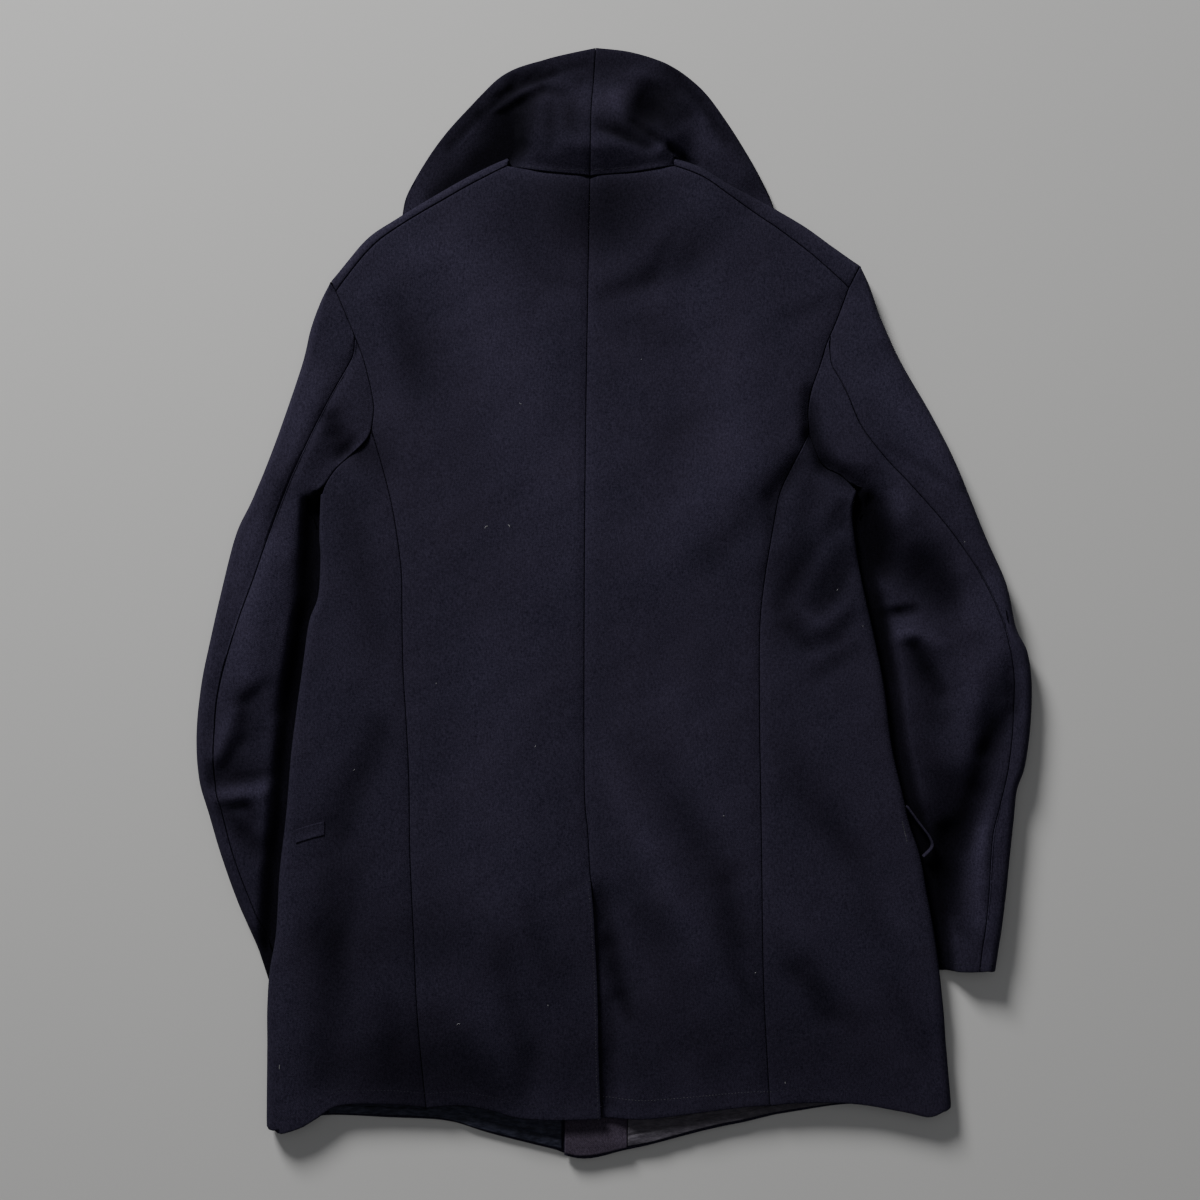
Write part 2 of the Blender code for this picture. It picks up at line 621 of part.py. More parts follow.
def sleeve(left, lines, mat, collection):
    """The top sleeve and the under sleeve of one arm, a flattened tube."""
    out_edge = sleeve_line(LEFT_SLEEVE_OUT if left else RIGHT_SLEEVE_OUT)
    in_edge = sleeve_line(LEFT_SLEEVE_IN if left else RIGHT_SLEEVE_IN, ARMPIT_FAN)
    hind = sleeve_line(LEFT_HIND if left else RIGHT_HIND)
    out_normals = inward(out_edge, (0, 0))
    in_normals = inward(in_edge, (-1000 if left else 1000, 0))
    fold_radii = radii(SLEEVE_ROWS, SLEEVE_TAPER)
    out_in = [p + n * r for p, n, r in zip(out_edge, out_normals, fold_radii)]
    in_in = [p + n * r for p, n, r in zip(in_edge, in_normals, fold_radii)]
    arm = chain(lines["armhole"][::-1], lines["underarm"])
    hind[-1] = arm[HIND_STEP].copy()
    arm_a = arm[:HIND_STEP + 1]
    arm_a[0] = out_in[-1].copy()
    arm_b = arm[HIND_STEP:]
    arm_b[-1] = in_in[-1].copy()
    cuff_a = [out_in[0].lerp(hind[0], t / HIND_STEP) for t in range(HIND_STEP + 1)]
    b_steps = len(arm_b) - 1
    cuff_b = [hind[0].lerp(in_in[0], t / b_steps) for t in range(b_steps + 1)]
    upper_a = inset(coons(cuff_a, arm_a, out_in, hind, SLEEVE_PULLS), SEAM_GAP)
    upper_b = inset(coons(cuff_b, arm_b, hind, in_in, SLEEVE_PULLS), SEAM_GAP)
    lower_steps = FRONT_ARM_ROWS
    split = lower_steps // 2
    front_arm = smooth(LEFT_FRONT_ARMHOLE if left else RIGHT_FRONT_ARMHOLE, FRONT_ARM_ROWS)[::-1]
    front_arm[0] = out_in[-1].copy()
    front_arm[-1] = in_in[-1].copy()
    cuff = [out_in[0].lerp(in_in[0], t / lower_steps) for t in range(lower_steps + 1)]
    lower = coons(cuff, front_arm, out_in, in_in, SLEEVE_PULLS)
    lower_a = inset([row[:split + 1] for row in lower], SEAM_GAP)
    lower_b = inset([row[split:] for row in lower], SEAM_GAP)
    top_cells = {}
    under_cells = {}
    for j in range(SLEEVE_ROWS + 1):
        p = out_in[j]
        arc = fold_pairs(out_edge[j], out_normals[j], sleeve_top(p.x, p.y), 0.0, fold_radii[j])
        row = [pair_floor(p, 0.0) for p in reversed(lower_a[j])] + arc[::-1]
        row += [pair_top(p, sleeve_top(p.x, p.y)) for p in upper_a[j]]
        for i, pair in enumerate(row):
            top_cells[(i, j)] = pair
        p = in_in[j]
        arc = fold_pairs(in_edge[j], in_normals[j], sleeve_top(p.x, p.y), 0.0, fold_radii[j])
        row = [pair_top(p, sleeve_top(p.x, p.y)) for p in upper_b[j]] + arc
        row += [pair_floor(p, 0.0) for p in reversed(lower_b[j])]
        for i, pair in enumerate(row):
            under_cells[(i, j)] = pair
    side = "left" if left else "right"
    shell("top_sleeve_" + side, top_cells, mat, collection)
    shell("under_sleeve_" + side, under_cells, mat, collection)


# Rise of the collar from the neck seam out: distance, height.
COLLAR_RISE = ((0, 18.0), (12, 23.0), (26, COLLAR_RIDGE), (48, 21.0), (74, 12.0), (96, COLLAR_FLAT))
# The collar's inner edge past the neck seam: round the shoulder's corner, then under the front.
LEFT_COLLAR_INNER = ((-88.5, 384), (-91, 395), (-104, 391.5), (-114, 384), (-130, 365), (-150, 340),
                     (-176, 310))
RIGHT_COLLAR_INNER = ((48.5, 384), (51, 395), (64, 390.5), (74, 383), (90, 368), (106, 345),
                      (128, 316))
COLLAR_ROWS = 8


def collar_top(x, y):
    """Top of the spread collar."""
    off = abs(x + 20)
    away = max(y - 378 - 0.0025 * off * off, 0.0)
    rise = COLLAR_FLAT
    for (s0, h0), (s1, h1) in zip(COLLAR_RISE, COLLAR_RISE[1:]):
        if s0 <= away < s1:
            rise = h0 + (h1 - h0) * ease((away - s0) / (s1 - s0))
    stand = (rise - COLLAR_FLAT) * ease((98 - off) / 38)
    return max(COLLAR_FLAT + stand + fold_height(COLLAR_FOLDS, x, y), COLLAR_FLAT)


def collar_rows(left, neck):
    """One half of the collar: rows from the neck seam out, columns from the centre round."""
    inner = neck[:-1] + [Vector(p) for p in (LEFT_COLLAR_INNER if left else RIGHT_COLLAR_INNER)]
    outline = COLLAR_EDGE_LEFT[::-1] if left else COLLAR_EDGE_RIGHT
    # the columns of the neck seam reach the edge's first two points, the others share the rest
    edge = chain(smooth(outline[:2], NECK_STEPS), smooth(outline[1:], len(inner) - 1 - NECK_STEPS))
    centre = smooth(COLLAR_CENTRE, COLLAR_ROWS)
    edge[0] = centre[-1].copy()
    end = [inner[-1].lerp(edge[-1], t / COLLAR_ROWS) for t in range(COLLAR_ROWS + 1)]
    return coons(inner, edge, centre, end)


def collar(necks, mat, collection):
    """Two halves of the under collar on top, and the top collar in one piece beneath."""
    both = {}
    for left in (True, False):
        rows = inset(collar_rows(left, necks[left]), SEAM_GAP)
        cells = {}
        for j, row in enumerate(rows):
            for i, p in enumerate(row):
                cells[(-i if left else i, j)] = pair_top(p, collar_top(p.x, p.y))
        shell("under_collar_left" if left else "under_collar_right", cells, mat, collection)
        for j, row in enumerate(rows):
            for i, p in enumerate(row):
                height = collar_top(p.x, p.y) - COLLAR_FLAT
                both[(-i if left else i, j)] = pair_floor(p, height)
    # the top collar has no centre seam, so its middle column lies between the two halves
    shell("top_collar", both, mat, collection)


def strip(name, corners, floor, wall, columns, rows, mat, collection):
    """A thin strip between two lines, laid on what carries it."""
    low, high = corners
    bottom = smooth(low, columns)
    top = smooth(high, columns)
    cells = {}
    for i in range(columns + 1):
        for j in range(rows + 1):
            p = bottom[i].lerp(top[i], j / rows)
            cells[(i, j)] = pair_floor(p, floor(p.x, p.y), wall)
    return shell(name, cells, mat, collection)


LINING_LEFT_LINES = (((-250, -442), (-203, -443), (-152, -446), (-114, -457), (-57, -471), (-52, -472)),
                     ((-250, -424), (-203, -424), (-152, -424), (-114, -424), (-57, -424), (-52, -424)))
LINING_RIGHT_LINES = (((14, -468), (35, -464), (84, -451), (127, -443), (165, -436), (205, -430)),
                      ((14, -424), (35, -424), (84, -424), (127, -424), (165, -424), (205, -424)))
FACING_LINES = (((-43, -479), (-31, -481), (-15, -480), (11, -474)),
                ((-43, -424), (-31, -424), (-15, -424), (13, -424)))
WELT_RIGHT = ((257.6, -177), (267, -190), (278, -205), (280, -214), (271.8, -223))
WELT_LEFT = (((-279, -210), (-266, -206), (-254, -203)), ((-279, -198), (-266, -194), (-254, -191)))
WELT_WALL = 2.0
FACING_WALL = 2.0
ON_CLOTH = 0.4
LEFT_LINING_GAP = 0.6
RIGHT_LINING_GAP = 1.7
LINING_COLUMNS = 10
LINING_ROWS = 3
WELT_HEIGHTS = (11.6, 15.0, 18.4)   # lower edge, middle and lip of the standing welt


def inside_strips(melton, lining, collection):
    """The facing and the two linings, where they show under the back's hem."""
    def left_floor(x, y):
        return front_floor(x, y) + WALL + LEFT_LINING_GAP

    def right_floor(x, y):
        return right_front_floor(x, y) + WALL + RIGHT_LINING_GAP

    def facing_floor(x, y):
        return right_front_floor(x, y) + WALL + ON_CLOTH

    size = (LINING, LINING_COLUMNS, LINING_ROWS)
    strip("lining_left", LINING_LEFT_LINES, left_floor, *size, lining, collection)
    strip("lining_right", LINING_RIGHT_LINES, right_floor, *size, lining, collection)
    strip("facing_right", FACING_LINES, facing_floor, FACING_WALL, 4, 4, melton, collection)


def welts(mat, collection):
    """The ends of the two pocket welts that show at the sides."""
    def on_side(x, y):
        return body_top(x, y) + ON_CLOTH

    strip("pocket_welt_left", WELT_LEFT, on_side, WELT_WALL, 4, 2, mat, collection)
    path = smooth(WELT_RIGHT, 8)
    normals = inward(path, (200, -200))
    cells = {}
    for i, (p, n) in enumerate(zip(path, normals)):
        q = p + n * WELT_WALL
        for j, z in enumerate(WELT_HEIGHTS):
            cells[(i, j)] = ((p.x, p.y, z), (q.x, q.y, z))
    shell("pocket_welt_right", cells, mat, collection)


BUTTON_COLUMNS = (-62, 58)
BUTTON_ROWS = (190, 70, -50, -170)


def buttons(mat, collection):
    """Plain buttons under the left front, which lies on them."""
    for c, x in enumerate(BUTTON_COLUMNS):
        for r, y in enumerate(BUTTON_ROWS):
            place = ((x - CENTRE[0]) * MM, (y - CENTRE[1]) * MM, BUTTON_THICK * MM / 2)
            bpy.ops.mesh.primitive_cylinder_add(vertices=20, radius=BUTTON_R * MM,
                                                depth=BUTTON_THICK * MM, location=place)
            button = bpy.context.object
            button.name = f"button_{c + 1}_{r + 1}"
            button.data.materials.append(mat)
            bevel = button.modifiers.new("rim", "BEVEL")
            bevel.width = 0.8 * MM
            bevel.segments = 1
            bevel.limit_method = "ANGLE"
            for old in list(button.users_collection):
                old.objects.unlink(button)
            collection.objects.link(button)


def main():
    for thing in list(bpy.data.objects):
        bpy.data.objects.remove(thing, do_unlink=True)
    coat = bpy.data.collections.new("pea_coat")
    bpy.context.scene.collection.children.link(coat)
    melton = material("melton", (0.010, 0.011, 0.018), 0.9)
    lining = material("lining", (0.020, 0.024, 0.042), 0.5)
    plastic = material("button", (0.012, 0.012, 0.014), 0.35)
    necks = {}
    for left in (True, False):
        lines = half_lines(left)
        necks[left] = lines["neck"]
        back(left, lines, melton, coat)
        front(left, lines, melton, coat)
        sleeve(left, lines, melton, coat)
    collar(necks, melton, coat)
    inside_strips(melton, lining, coat)
    welts(melton, coat)
    buttons(plastic, coat)


main()
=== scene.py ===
"""A navy-black pea coat laid flat with its back up: cloth, seams, stitches, floor, light, camera.

The coat's pieces are drafted as flat pattern curves in millimetres, given their folds, and sewn
edge to edge. +X is the wearer's right, +Y points to the collar and +Z up. What comes in pairs is
kept by half of the coat, "left" or "right" as the wearer has them.
"""

import math

import bpy
import numpy as np
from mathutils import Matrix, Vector


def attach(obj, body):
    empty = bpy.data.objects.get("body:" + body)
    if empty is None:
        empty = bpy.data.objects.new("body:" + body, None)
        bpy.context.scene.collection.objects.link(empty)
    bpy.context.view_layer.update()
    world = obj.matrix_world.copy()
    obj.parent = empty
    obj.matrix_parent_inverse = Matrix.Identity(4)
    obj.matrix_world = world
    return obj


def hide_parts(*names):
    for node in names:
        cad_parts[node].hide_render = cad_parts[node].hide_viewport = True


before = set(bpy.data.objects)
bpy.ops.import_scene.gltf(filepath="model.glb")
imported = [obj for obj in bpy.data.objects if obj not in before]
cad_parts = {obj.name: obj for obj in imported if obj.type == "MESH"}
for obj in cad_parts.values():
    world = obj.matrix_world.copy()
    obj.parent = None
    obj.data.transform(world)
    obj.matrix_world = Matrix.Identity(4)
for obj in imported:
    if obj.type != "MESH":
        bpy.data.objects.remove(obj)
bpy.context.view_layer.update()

HALVES = ("left", "right")
TINY = 1e-9
MM = 0.001
CENTRE = (0.15, 2.0)  # middle of the footprint in the pattern's own places, moved to the origin
MIDDLE_X = -20        # line down the middle of the coat

WALL = 3.0            # melton, one layer
LINING = 1.0          # lining cloth
FACING_WALL = 2.0
WELT_WALL = {"left": 0.9, "right": 2.0}
EDGE_ROUND = 0.9      # most that a cut edge is rounded
EDGE_SHARE = 0.45     # and no more than this share of its wall
CORNER_SHARE = 0.3    # how far from its corners the rounding has its middle points

SEAM_GAP = 0.36       # clear space between two sewn edges
LAYER_GAP = 1.0       # clear space between two cloths that lie on each other
LINING_GAP = 0.6      # least space between a front and its lining
ON_CLOTH = 0.4        # the facing over its front
WELT_GAP = 0.12       # the left welt over the back
OVERLAP_ROOM = 0.3    # more space between the two fronts
UNDER_ROOM = 0.6      # the collar's ends under the shoulders

BODY_TOP = 17.0       # height of the back over the floor
MIDDLE_SWELL = 1.2    # how much higher its middle is
SIDE_SWELL = 1.0      # and its sides
FRONT_LIFT = 4.2      # the left front lies on its buttons
SLEEVE_FLAT = 7.6     # two cloths of the sleeve where the body lies on it
FOLD_R = 8.0          # how far a side fold rounds in
VENT_DROP = 4.4       # the right back dips under the left one at the vent
UNDERLAP = 42.0       # hidden width of the vent's lower flap
VENT_TOP = -236.0
ARMPIT_Y = 104        # the sleeves go in under the body below this place
PUFF = 5.0            # how much higher a sleeve stands away from the body,
PUFF_BASE = 1.0       # and beside it
NECK_Y = 378          # the neck seam at the middle of the back,
NECK_CURVE = 0.0025   # and its rise to the shoulders
COLLAR_GAP = 0.8      # clear space between the two leaves of the collar
COLLAR_FLAT = 2 * WALL + COLLAR_GAP   # two leaves of the collar on the floor
COLLAR_RIDGE = 27.0   # highest line of the stand, past the neck seam
WELT_HEIGHTS = (11.6, 18.4)   # lower edge and lip of the standing welt
FLOOR_DROP = 0.3      # the floor under the lowest cloth

COLLAR_DEPTH = 1.35   # the collar's main folds are deeper than its solid's
SMALL_SHARE = 0.85    # the body's small folds are shallower than listed
END_FADE = 0.35       # a fold is that much shallower at its ends
HEM_CALM = 0.34       # the body's folds are that much shallower towards the hem,
CALM_FROM = -70       # from here down,
CALM_RUN = 90         # over this run

# What lifts the fronts: where it begins, its run up, where it ends, its run down.
SLEEVE_REACH = (-392, 34, ARMPIT_Y, 24)
COLLAR_REACH = {"left": (-232, 26, -70, 40), "right": (30, 40, 186, 26)}
BUTTONS_ACROSS = (-128, 30, 118, 30)
BUTTONS_ALONG = (-236, 30, 290, 40)
LEAD_IN = 60          # the right front rises this far before the left one's edge,
OVERLAP_TOP = 345     # and up to here
BODY_REACH = 300      # farther out lies only a sleeve

# Lines on the coat: x, y. Where the two backs meet, from the neck down, and the vent's edge.
CENTRE_SEAM = ((-21, 375), (-23, 267), (-25, 135), (-26, 3), (-26, -155), (-23, -200), (-21, -236))
VENT_EDGE = ((-21, -236), (-18, -267), (-16, -301), (-14, -346), (-13, -402), (-11, -452))

# Side-back seams, from the armhole down to the hem.
SIDE_SEAM = {
    "left": ((-213, 153), (-196, 91), (-187, 33), (-186, -9), (-185, -59), (-182, -110),
             (-180, -155), (-179, -221), (-176, -288), (-172, -370), (-165, -443)),
    "right": ((172, 150), (156, 119), (146, 97), (141, 73), (132, 19), (128, -26), (128, -107),
              (129, -173), (131, -314), (133, -370), (137, -441)),
}

# Armholes on the back, from the shoulder down to the side-back seam.
ARMHOLE = {
    "left": ((-244, 274), (-224, 226), (-216, 200), (-211, 173), (-213, 153)),
    "right": ((206, 277), (196, 250), (186, 226), (181, 209), (174, 189), (171, 170), (172, 150)),
}

# The armholes go on from there out to the side fold.
UNDERARM = {
    "left": ((-213, 153), (-219, 141), (-244, 118), (-258, 96)),
    "right": ((172, 150), (183, 123), (200, 112), (214, 99)),
}

# Side folds of the body, from the underarm down to the hem.
SIDE = {
    "left": ((-258, 96), (-259, 60), (-258, 41), (-260, 7), (-268, -16), (-273, -51), (-279, -94),
             (-284, -135), (-288, -184), (-294, -238), (-297, -290), (-304, -339), (-306, -448),
             (-305, -462)),
    "right": ((214, 99), (210, 84), (211, 62), (218, 19), (228, -26), (237, -71), (244, -125),
              (253, -165), (260, -195), (269, -222), (275, -255), (281, -288), (286, -324),
              (292, -384), (297, -443)),
}
OUTLINE = {half: ARMHOLE[half] + UNDERARM[half][1:] + SIDE[half][1:] for half in HALVES}

# Neck and shoulder seams, from the centre back out.
NECK = {
    "left": ((-21, 375), (-64, 379), (-93.6, 384)),
    "right": ((-21, 375), (16, 378), (53, 384)),
}
SHOULDER = {
    "left": ((-93.6, 384), (-136, 362), (-190, 330), (-216, 309), (-244, 274)),
    "right": ((53, 384), (78, 374), (100, 359), (130, 338), (145, 328), (174, 306), (206, 277)),
}

# Shoulder folds, a little outside the seams, which the fronts reach round to.
TOP_FOLD = {
    "left": ((-93.6, 392), (-136, 371), (-190, 339), (-220, 318), (-249, 283)),
    "right": ((53, 392), (77, 383), (100, 369), (141, 347), (176, 326), (216, 297)),
}

# Back hems, from the vent's edge out to the side-back seam.
HEM = {
    "left": ((-11, -453), (-48, -454), (-84, -452), (-105, -446), (-136, -441), (-165, -443)),
    "right": ((-10, -446), (30, -448), (68, -445), (117, -441), (137, -441)),
}

# Hems of the fronts' strips, from that seam out to the side fold.
SIDE_HEM = {
    "left": ((-165, -443), (-190, -440), (-239, -440), (-261, -452), (-275, -460), (-296, -465),
             (-305, -462)),
    "right": ((137, -441), (153, -439), (188, -438), (219, -440), (254, -446), (278, -450),
              (297, -443)),
}

# Lower edges of the fronts, from the side fold in to the front edge.
FRONT_HEM = {
    "left": ((-305, -462), (-285, -459), (-261, -453), (-203, -455), (-152, -458), (-114, -469),
             (-57, -483), (-40, -486), (20, -476), (84, -458)),
    "right": ((297, -443), (270, -444), (216, -441), (165, -448), (127, -455), (84, -464),
              (35, -477), (8, -483), (-15, -489), (-31, -490), (-44, -487)),
}
FRONT_EDGE_X = {"left": 85.0, "right": -45.0}
FRONT_EDGE_TOP = 250.0

# Armholes of the fronts, from the side fold up.
FRONT_ARMHOLE = {
    "left": ((-250, 98), (-222, 122), (-208, 165), (-214, 215), (-240, 268)),
    "right": ((206, 101), (182, 126), (170, 170), (178, 225), (208, 284)),
}

# Outer folds, inner folds and hind seams of the sleeves, from the armhole down to the cuff.
SLEEVE_OUT = {
    "left": ((-250.5, 280.5), (-258, 266), (-267, 241), (-275, 207), (-297, 143), (-317, 93),
             (-332, 61), (-345, 11), (-356, -37), (-363, -73), (-367, -115), (-365, -154),
             (-358, -179), (-347, -216), (-332, -260), (-319, -292), (-304, -337)),
    "right": ((217.5, 294), (225, 279), (235, 250), (252, 212), (279, 165), (302, 119), (326, 60),
              (344, 19), (353, -21), (363, -42), (367, -71), (366, -107), (361, -143), (354, -164),
              (351, -191), (343, -266), (335, -323)),
}
SLEEVE_IN = {
    "left": ((-260, 99), (-261.5, 86), (-255, 70), (-250, 40), (-247, 0), (-236, -60),
             (-215, -160), (-185, -260), (-158, -312)),
    "right": ((216, 102), (215, 88), (208, 70), (205, 42), (205, 0), (202, -60), (196, -150),
              (188, -250), (184, -325)),
}
HIND = {
    "left": ((-224, 226), (-246, 185), (-268, 141), (-289, 95), (-314, 24), (-332, -26),
             (-345, -73), (-349, -107), (-350, -151), (-344, -180), (-333, -220), (-319, -260),
             (-289, -335)),
    "right": ((185, 219), (202, 189), (216, 156), (235, 130), (260, 103), (290, 69), (317, 31),
              (335, -5), (343, -28), (350, -62), (350, -98), (345, -143), (337, -178), (330, -208),
              (326, -266), (320, -323)),
}

# Where the sleeve's outer fold meets the end of the shoulder fold: outside, inside.
SLEEVE_TIP = {
    "left": ((-249.35, 282.8), (-248.4, 281.05)),
    "right": ((216.36, 296.8), (215.45, 295.0)),
}

# The sleeve's lower cloth runs on under the armpit's gap: y up the sleeve, width.
LEDGE = {
    "left": ((64, 76, 97, 106), (0, 4.5, 3.2, 3.0)),
    "right": ((64, 78, 99, 108), (0, 4.5, 3.2, 3.0)),
}

# Outer edge of the spread collar, from the centre back out to the shoulder.
COLLAR_EDGE = {
    "left": ((-16, 491), (-60, 481), (-98, 466), (-130, 436), (-158, 403), (-182, 363),
             (-188, 340), (-196, 322)),
    "right": ((-16, 491), (16, 487), (48, 476), (77, 455), (100, 425), (121, 391), (136, 363),
              (142, 347), (148, 328)),
}
COLLAR_CENTRE = ((-21, 375), (-20, 433), (-18, 460), (-16, 491))

# The collar's inner edge keeps close to the shoulder fold before it goes under.
COLLAR_INNER = {
    "left": ((-93.4, 384.2), (-93.45, 392.2), (-99.0, 389.8), (-104.5, 387.1), (-114, 380),
             (-130, 363), (-150, 340), (-176, 310)),
    "right": ((52.8, 384.2), (52.85, 392.2), (59.0, 390.0), (64.5, 387.9), (74, 381), (90, 366),
              (106, 345), (128, 316)),
}

# Rise of the collar from the neck seam out: distance, height.
COLLAR_RISE = ((0, 18.0), (12, 23.0), (26, COLLAR_RIDGE), (48, 21.0), (74, 12.0),
               (96, COLLAR_FLAT))

# Lower and upper edges of the strips inside the hem.
LINING_LINES = {
    "left": (((-252, -450), (-203, -451.5), (-152, -454.5), (-114, -465), (-57, -479),
              (-46.3, -481.5)),
             ((-252, -424), (-203, -424), (-152, -424), (-114, -424), (-57, -424), (-46.3, -424))),
    "right": (((12.1, -478), (35, -473.5), (84, -460.5), (127, -452), (165, -445.5), (205, -440)),
              ((12.1, -424), (35, -424), (84, -424), (127, -424), (165, -424), (205, -424))),
}
FACING_LINES = (((-43.5, -484), (-31, -486.4), (-15, -485.4), (11.5, -479)),
                ((-43.5, -424), (-31, -424), (-15, -424), (12, -424)))

# The left welt's lower and upper edge, and the right welt's line along its side.
LEFT_WELT = (((-279, -210), (-266, -206), (-254, -203)),
             ((-279, -198), (-266, -194), (-254, -191)))
RIGHT_WELT = ((257.6, -177), (267, -190), (278, -205), (280, -214), (271.8, -223))

# Soft folds: start x, y, end x, y, half width, height (a trough is below nought).
BODY_FOLDS = (
    (66, 295, -6, 266, 16, -1.6), (45, -146, 124, -312, 20, -2.6),
    (157, -139, 230, -250, 17, -2.6), (153, -305, 189, -362, 13, -2.2),
    (169, -318, 210, -370, 12, -2.0), (243, -332, 275, -398, 12, -2.2),
    (-12, -285, 16, -364, 15, -2.4), (29, -271, 71, -308, 13, -1.6),
    (84, -248, 127, -356, 14, -1.8), (-208, -120, -258, -218, 18, -2.4),
    (-216, -218, -245, -312, 13, -2.0), (-246, -295, -236, -361, 13, -2.0),
    (-194, -360, -194, -416, 11, -1.6), (-148, -369, -106, -425, 15, -1.8),
    (205, 70, 150, -30, 16, -2.4), (178, 120, 140, 20, 14, -2.0), (-235, 90, -205, -40, 17, -2.0),
    (60, -100, 100, -260, 30, 2.0), (-100, -60, -110, -330, 36, 2.0),
    (-120, 290, -70, 120, 36, 1.8), (90, 250, 120, 60, 34, 1.8),
)
SMALL_BODY_FOLDS = (
    (75, 345, 5, 300, 28, 3.2), (-75, 330, -30, 300, 26, 1.8), (52, 322, 34, 284, 8, -1.4),
    (34, 284, -8, 270, 8, -1.6), (-30, 274, -64, 286, 7, -0.8), (0, 262, 85, 286, 24, 1.2),
    (8, 246, 60, 226, 18, -1.6), (-206, 268, -188, 168, 14, 1.5), (-192, 252, -174, 192, 17, -1.8),
    (-190, 306, -140, 296, 20, 1.4), (184, 262, 152, 250, 9, -1.2), (40, 142, 74, 164, 12, -1.2),
    (116, 118, 46, 44, 30, 2.6), (152, 118, 88, 38, 17, -3.2), (-10, 120, -60, 20, 40, 1.6),
    (-236, 150, -206, 122, 17, -4.0), (-240, 128, -228, 143, 5, -2.5),
    (172, 182, 173, 145, 8, -5.0), (173, 145, 186, 121, 8, -6.0), (186, 121, 214, 103, 8, -6.0),
    (162, 124, 138, 92, 9, -4.0), (138, 92, 140, 62, 8, -2.5), (208, 38, 184, -8, 10, -3.6),
    (172, 46, 146, -2, 9, -3.0), (196, 58, 166, 6, 9, 2.6), (160, 84, 150, 50, 10, 2.2),
    (202, 84, 192, 62, 7, -2.4), (154, -22, 170, -38, 7, -2.4), (170, -38, 194, -32, 7, -2.4),
    (194, -32, 208, -14, 7, -2.4), (160, -4, 180, -18, 7, 2.0), (180, -18, 202, -4, 7, 2.0),
    (180, -64, 208, -44, 8, -2.4), (-205, -118, -238, -200, 14, -3.0),
    (-238, -200, -250, -290, 17, -3.6), (-250, -290, -254, -420, 16, -4.0),
    (-284, -230, -292, -400, 9, 2.0), (-190, -326, -112, -346, 30, 2.8),
    (-196, -372, -190, -426, 24, -2.6), (-168, -378, -112, -430, 22, -2.8),
    (-98, -300, -92, -350, 12, -2.4), (-92, -350, -74, -400, 12, -2.8),
    (-74, -400, -82, -438, 11, -2.8), (-72, -272, -56, -322, 9, -2.0),
    (-22, -243, -47, -254, 2.6, -0.9), (-47, -254, -48, -266, 2.4, -0.8),
    (-30, -234, -52, -244, 7, 0.9), (-8, -140, 30, -215, 13, 3.2), (30, -215, 75, -310, 13, 2.8),
    (55, -180, 98, -240, 16, -2.6), (98, -240, 108, -300, 12, -3.2),
    (104, -318, 122, -352, 6, -2.8), (14, -262, 56, -330, 18, -2.6),
    (158, -165, 214, -226, 14, -2.2), (152, -322, 174, -332, 9, -2.4),
    (174, -332, 186, -362, 10, -2.2), (186, -362, 222, -366, 9, -1.4),
    (215, -270, 250, -310, 12, -2.2), (76, -384, 92, -428, 12, -1.6),
    (140, -250, 168, -300, 14, 1.4), (232, -240, 262, -296, 10, 1.6),
    (-279, -204, -254, -197, 8, -2.2),
)
VENT_FOLDS = (
    (-14, -246, -4, -300, 8, -3.0), (-4, -300, 6, -344, 8, -3.6), (6, -344, 14, -364, 6, -3.0),
    (-4, -352, -4, -440, 7, -2.6),
)
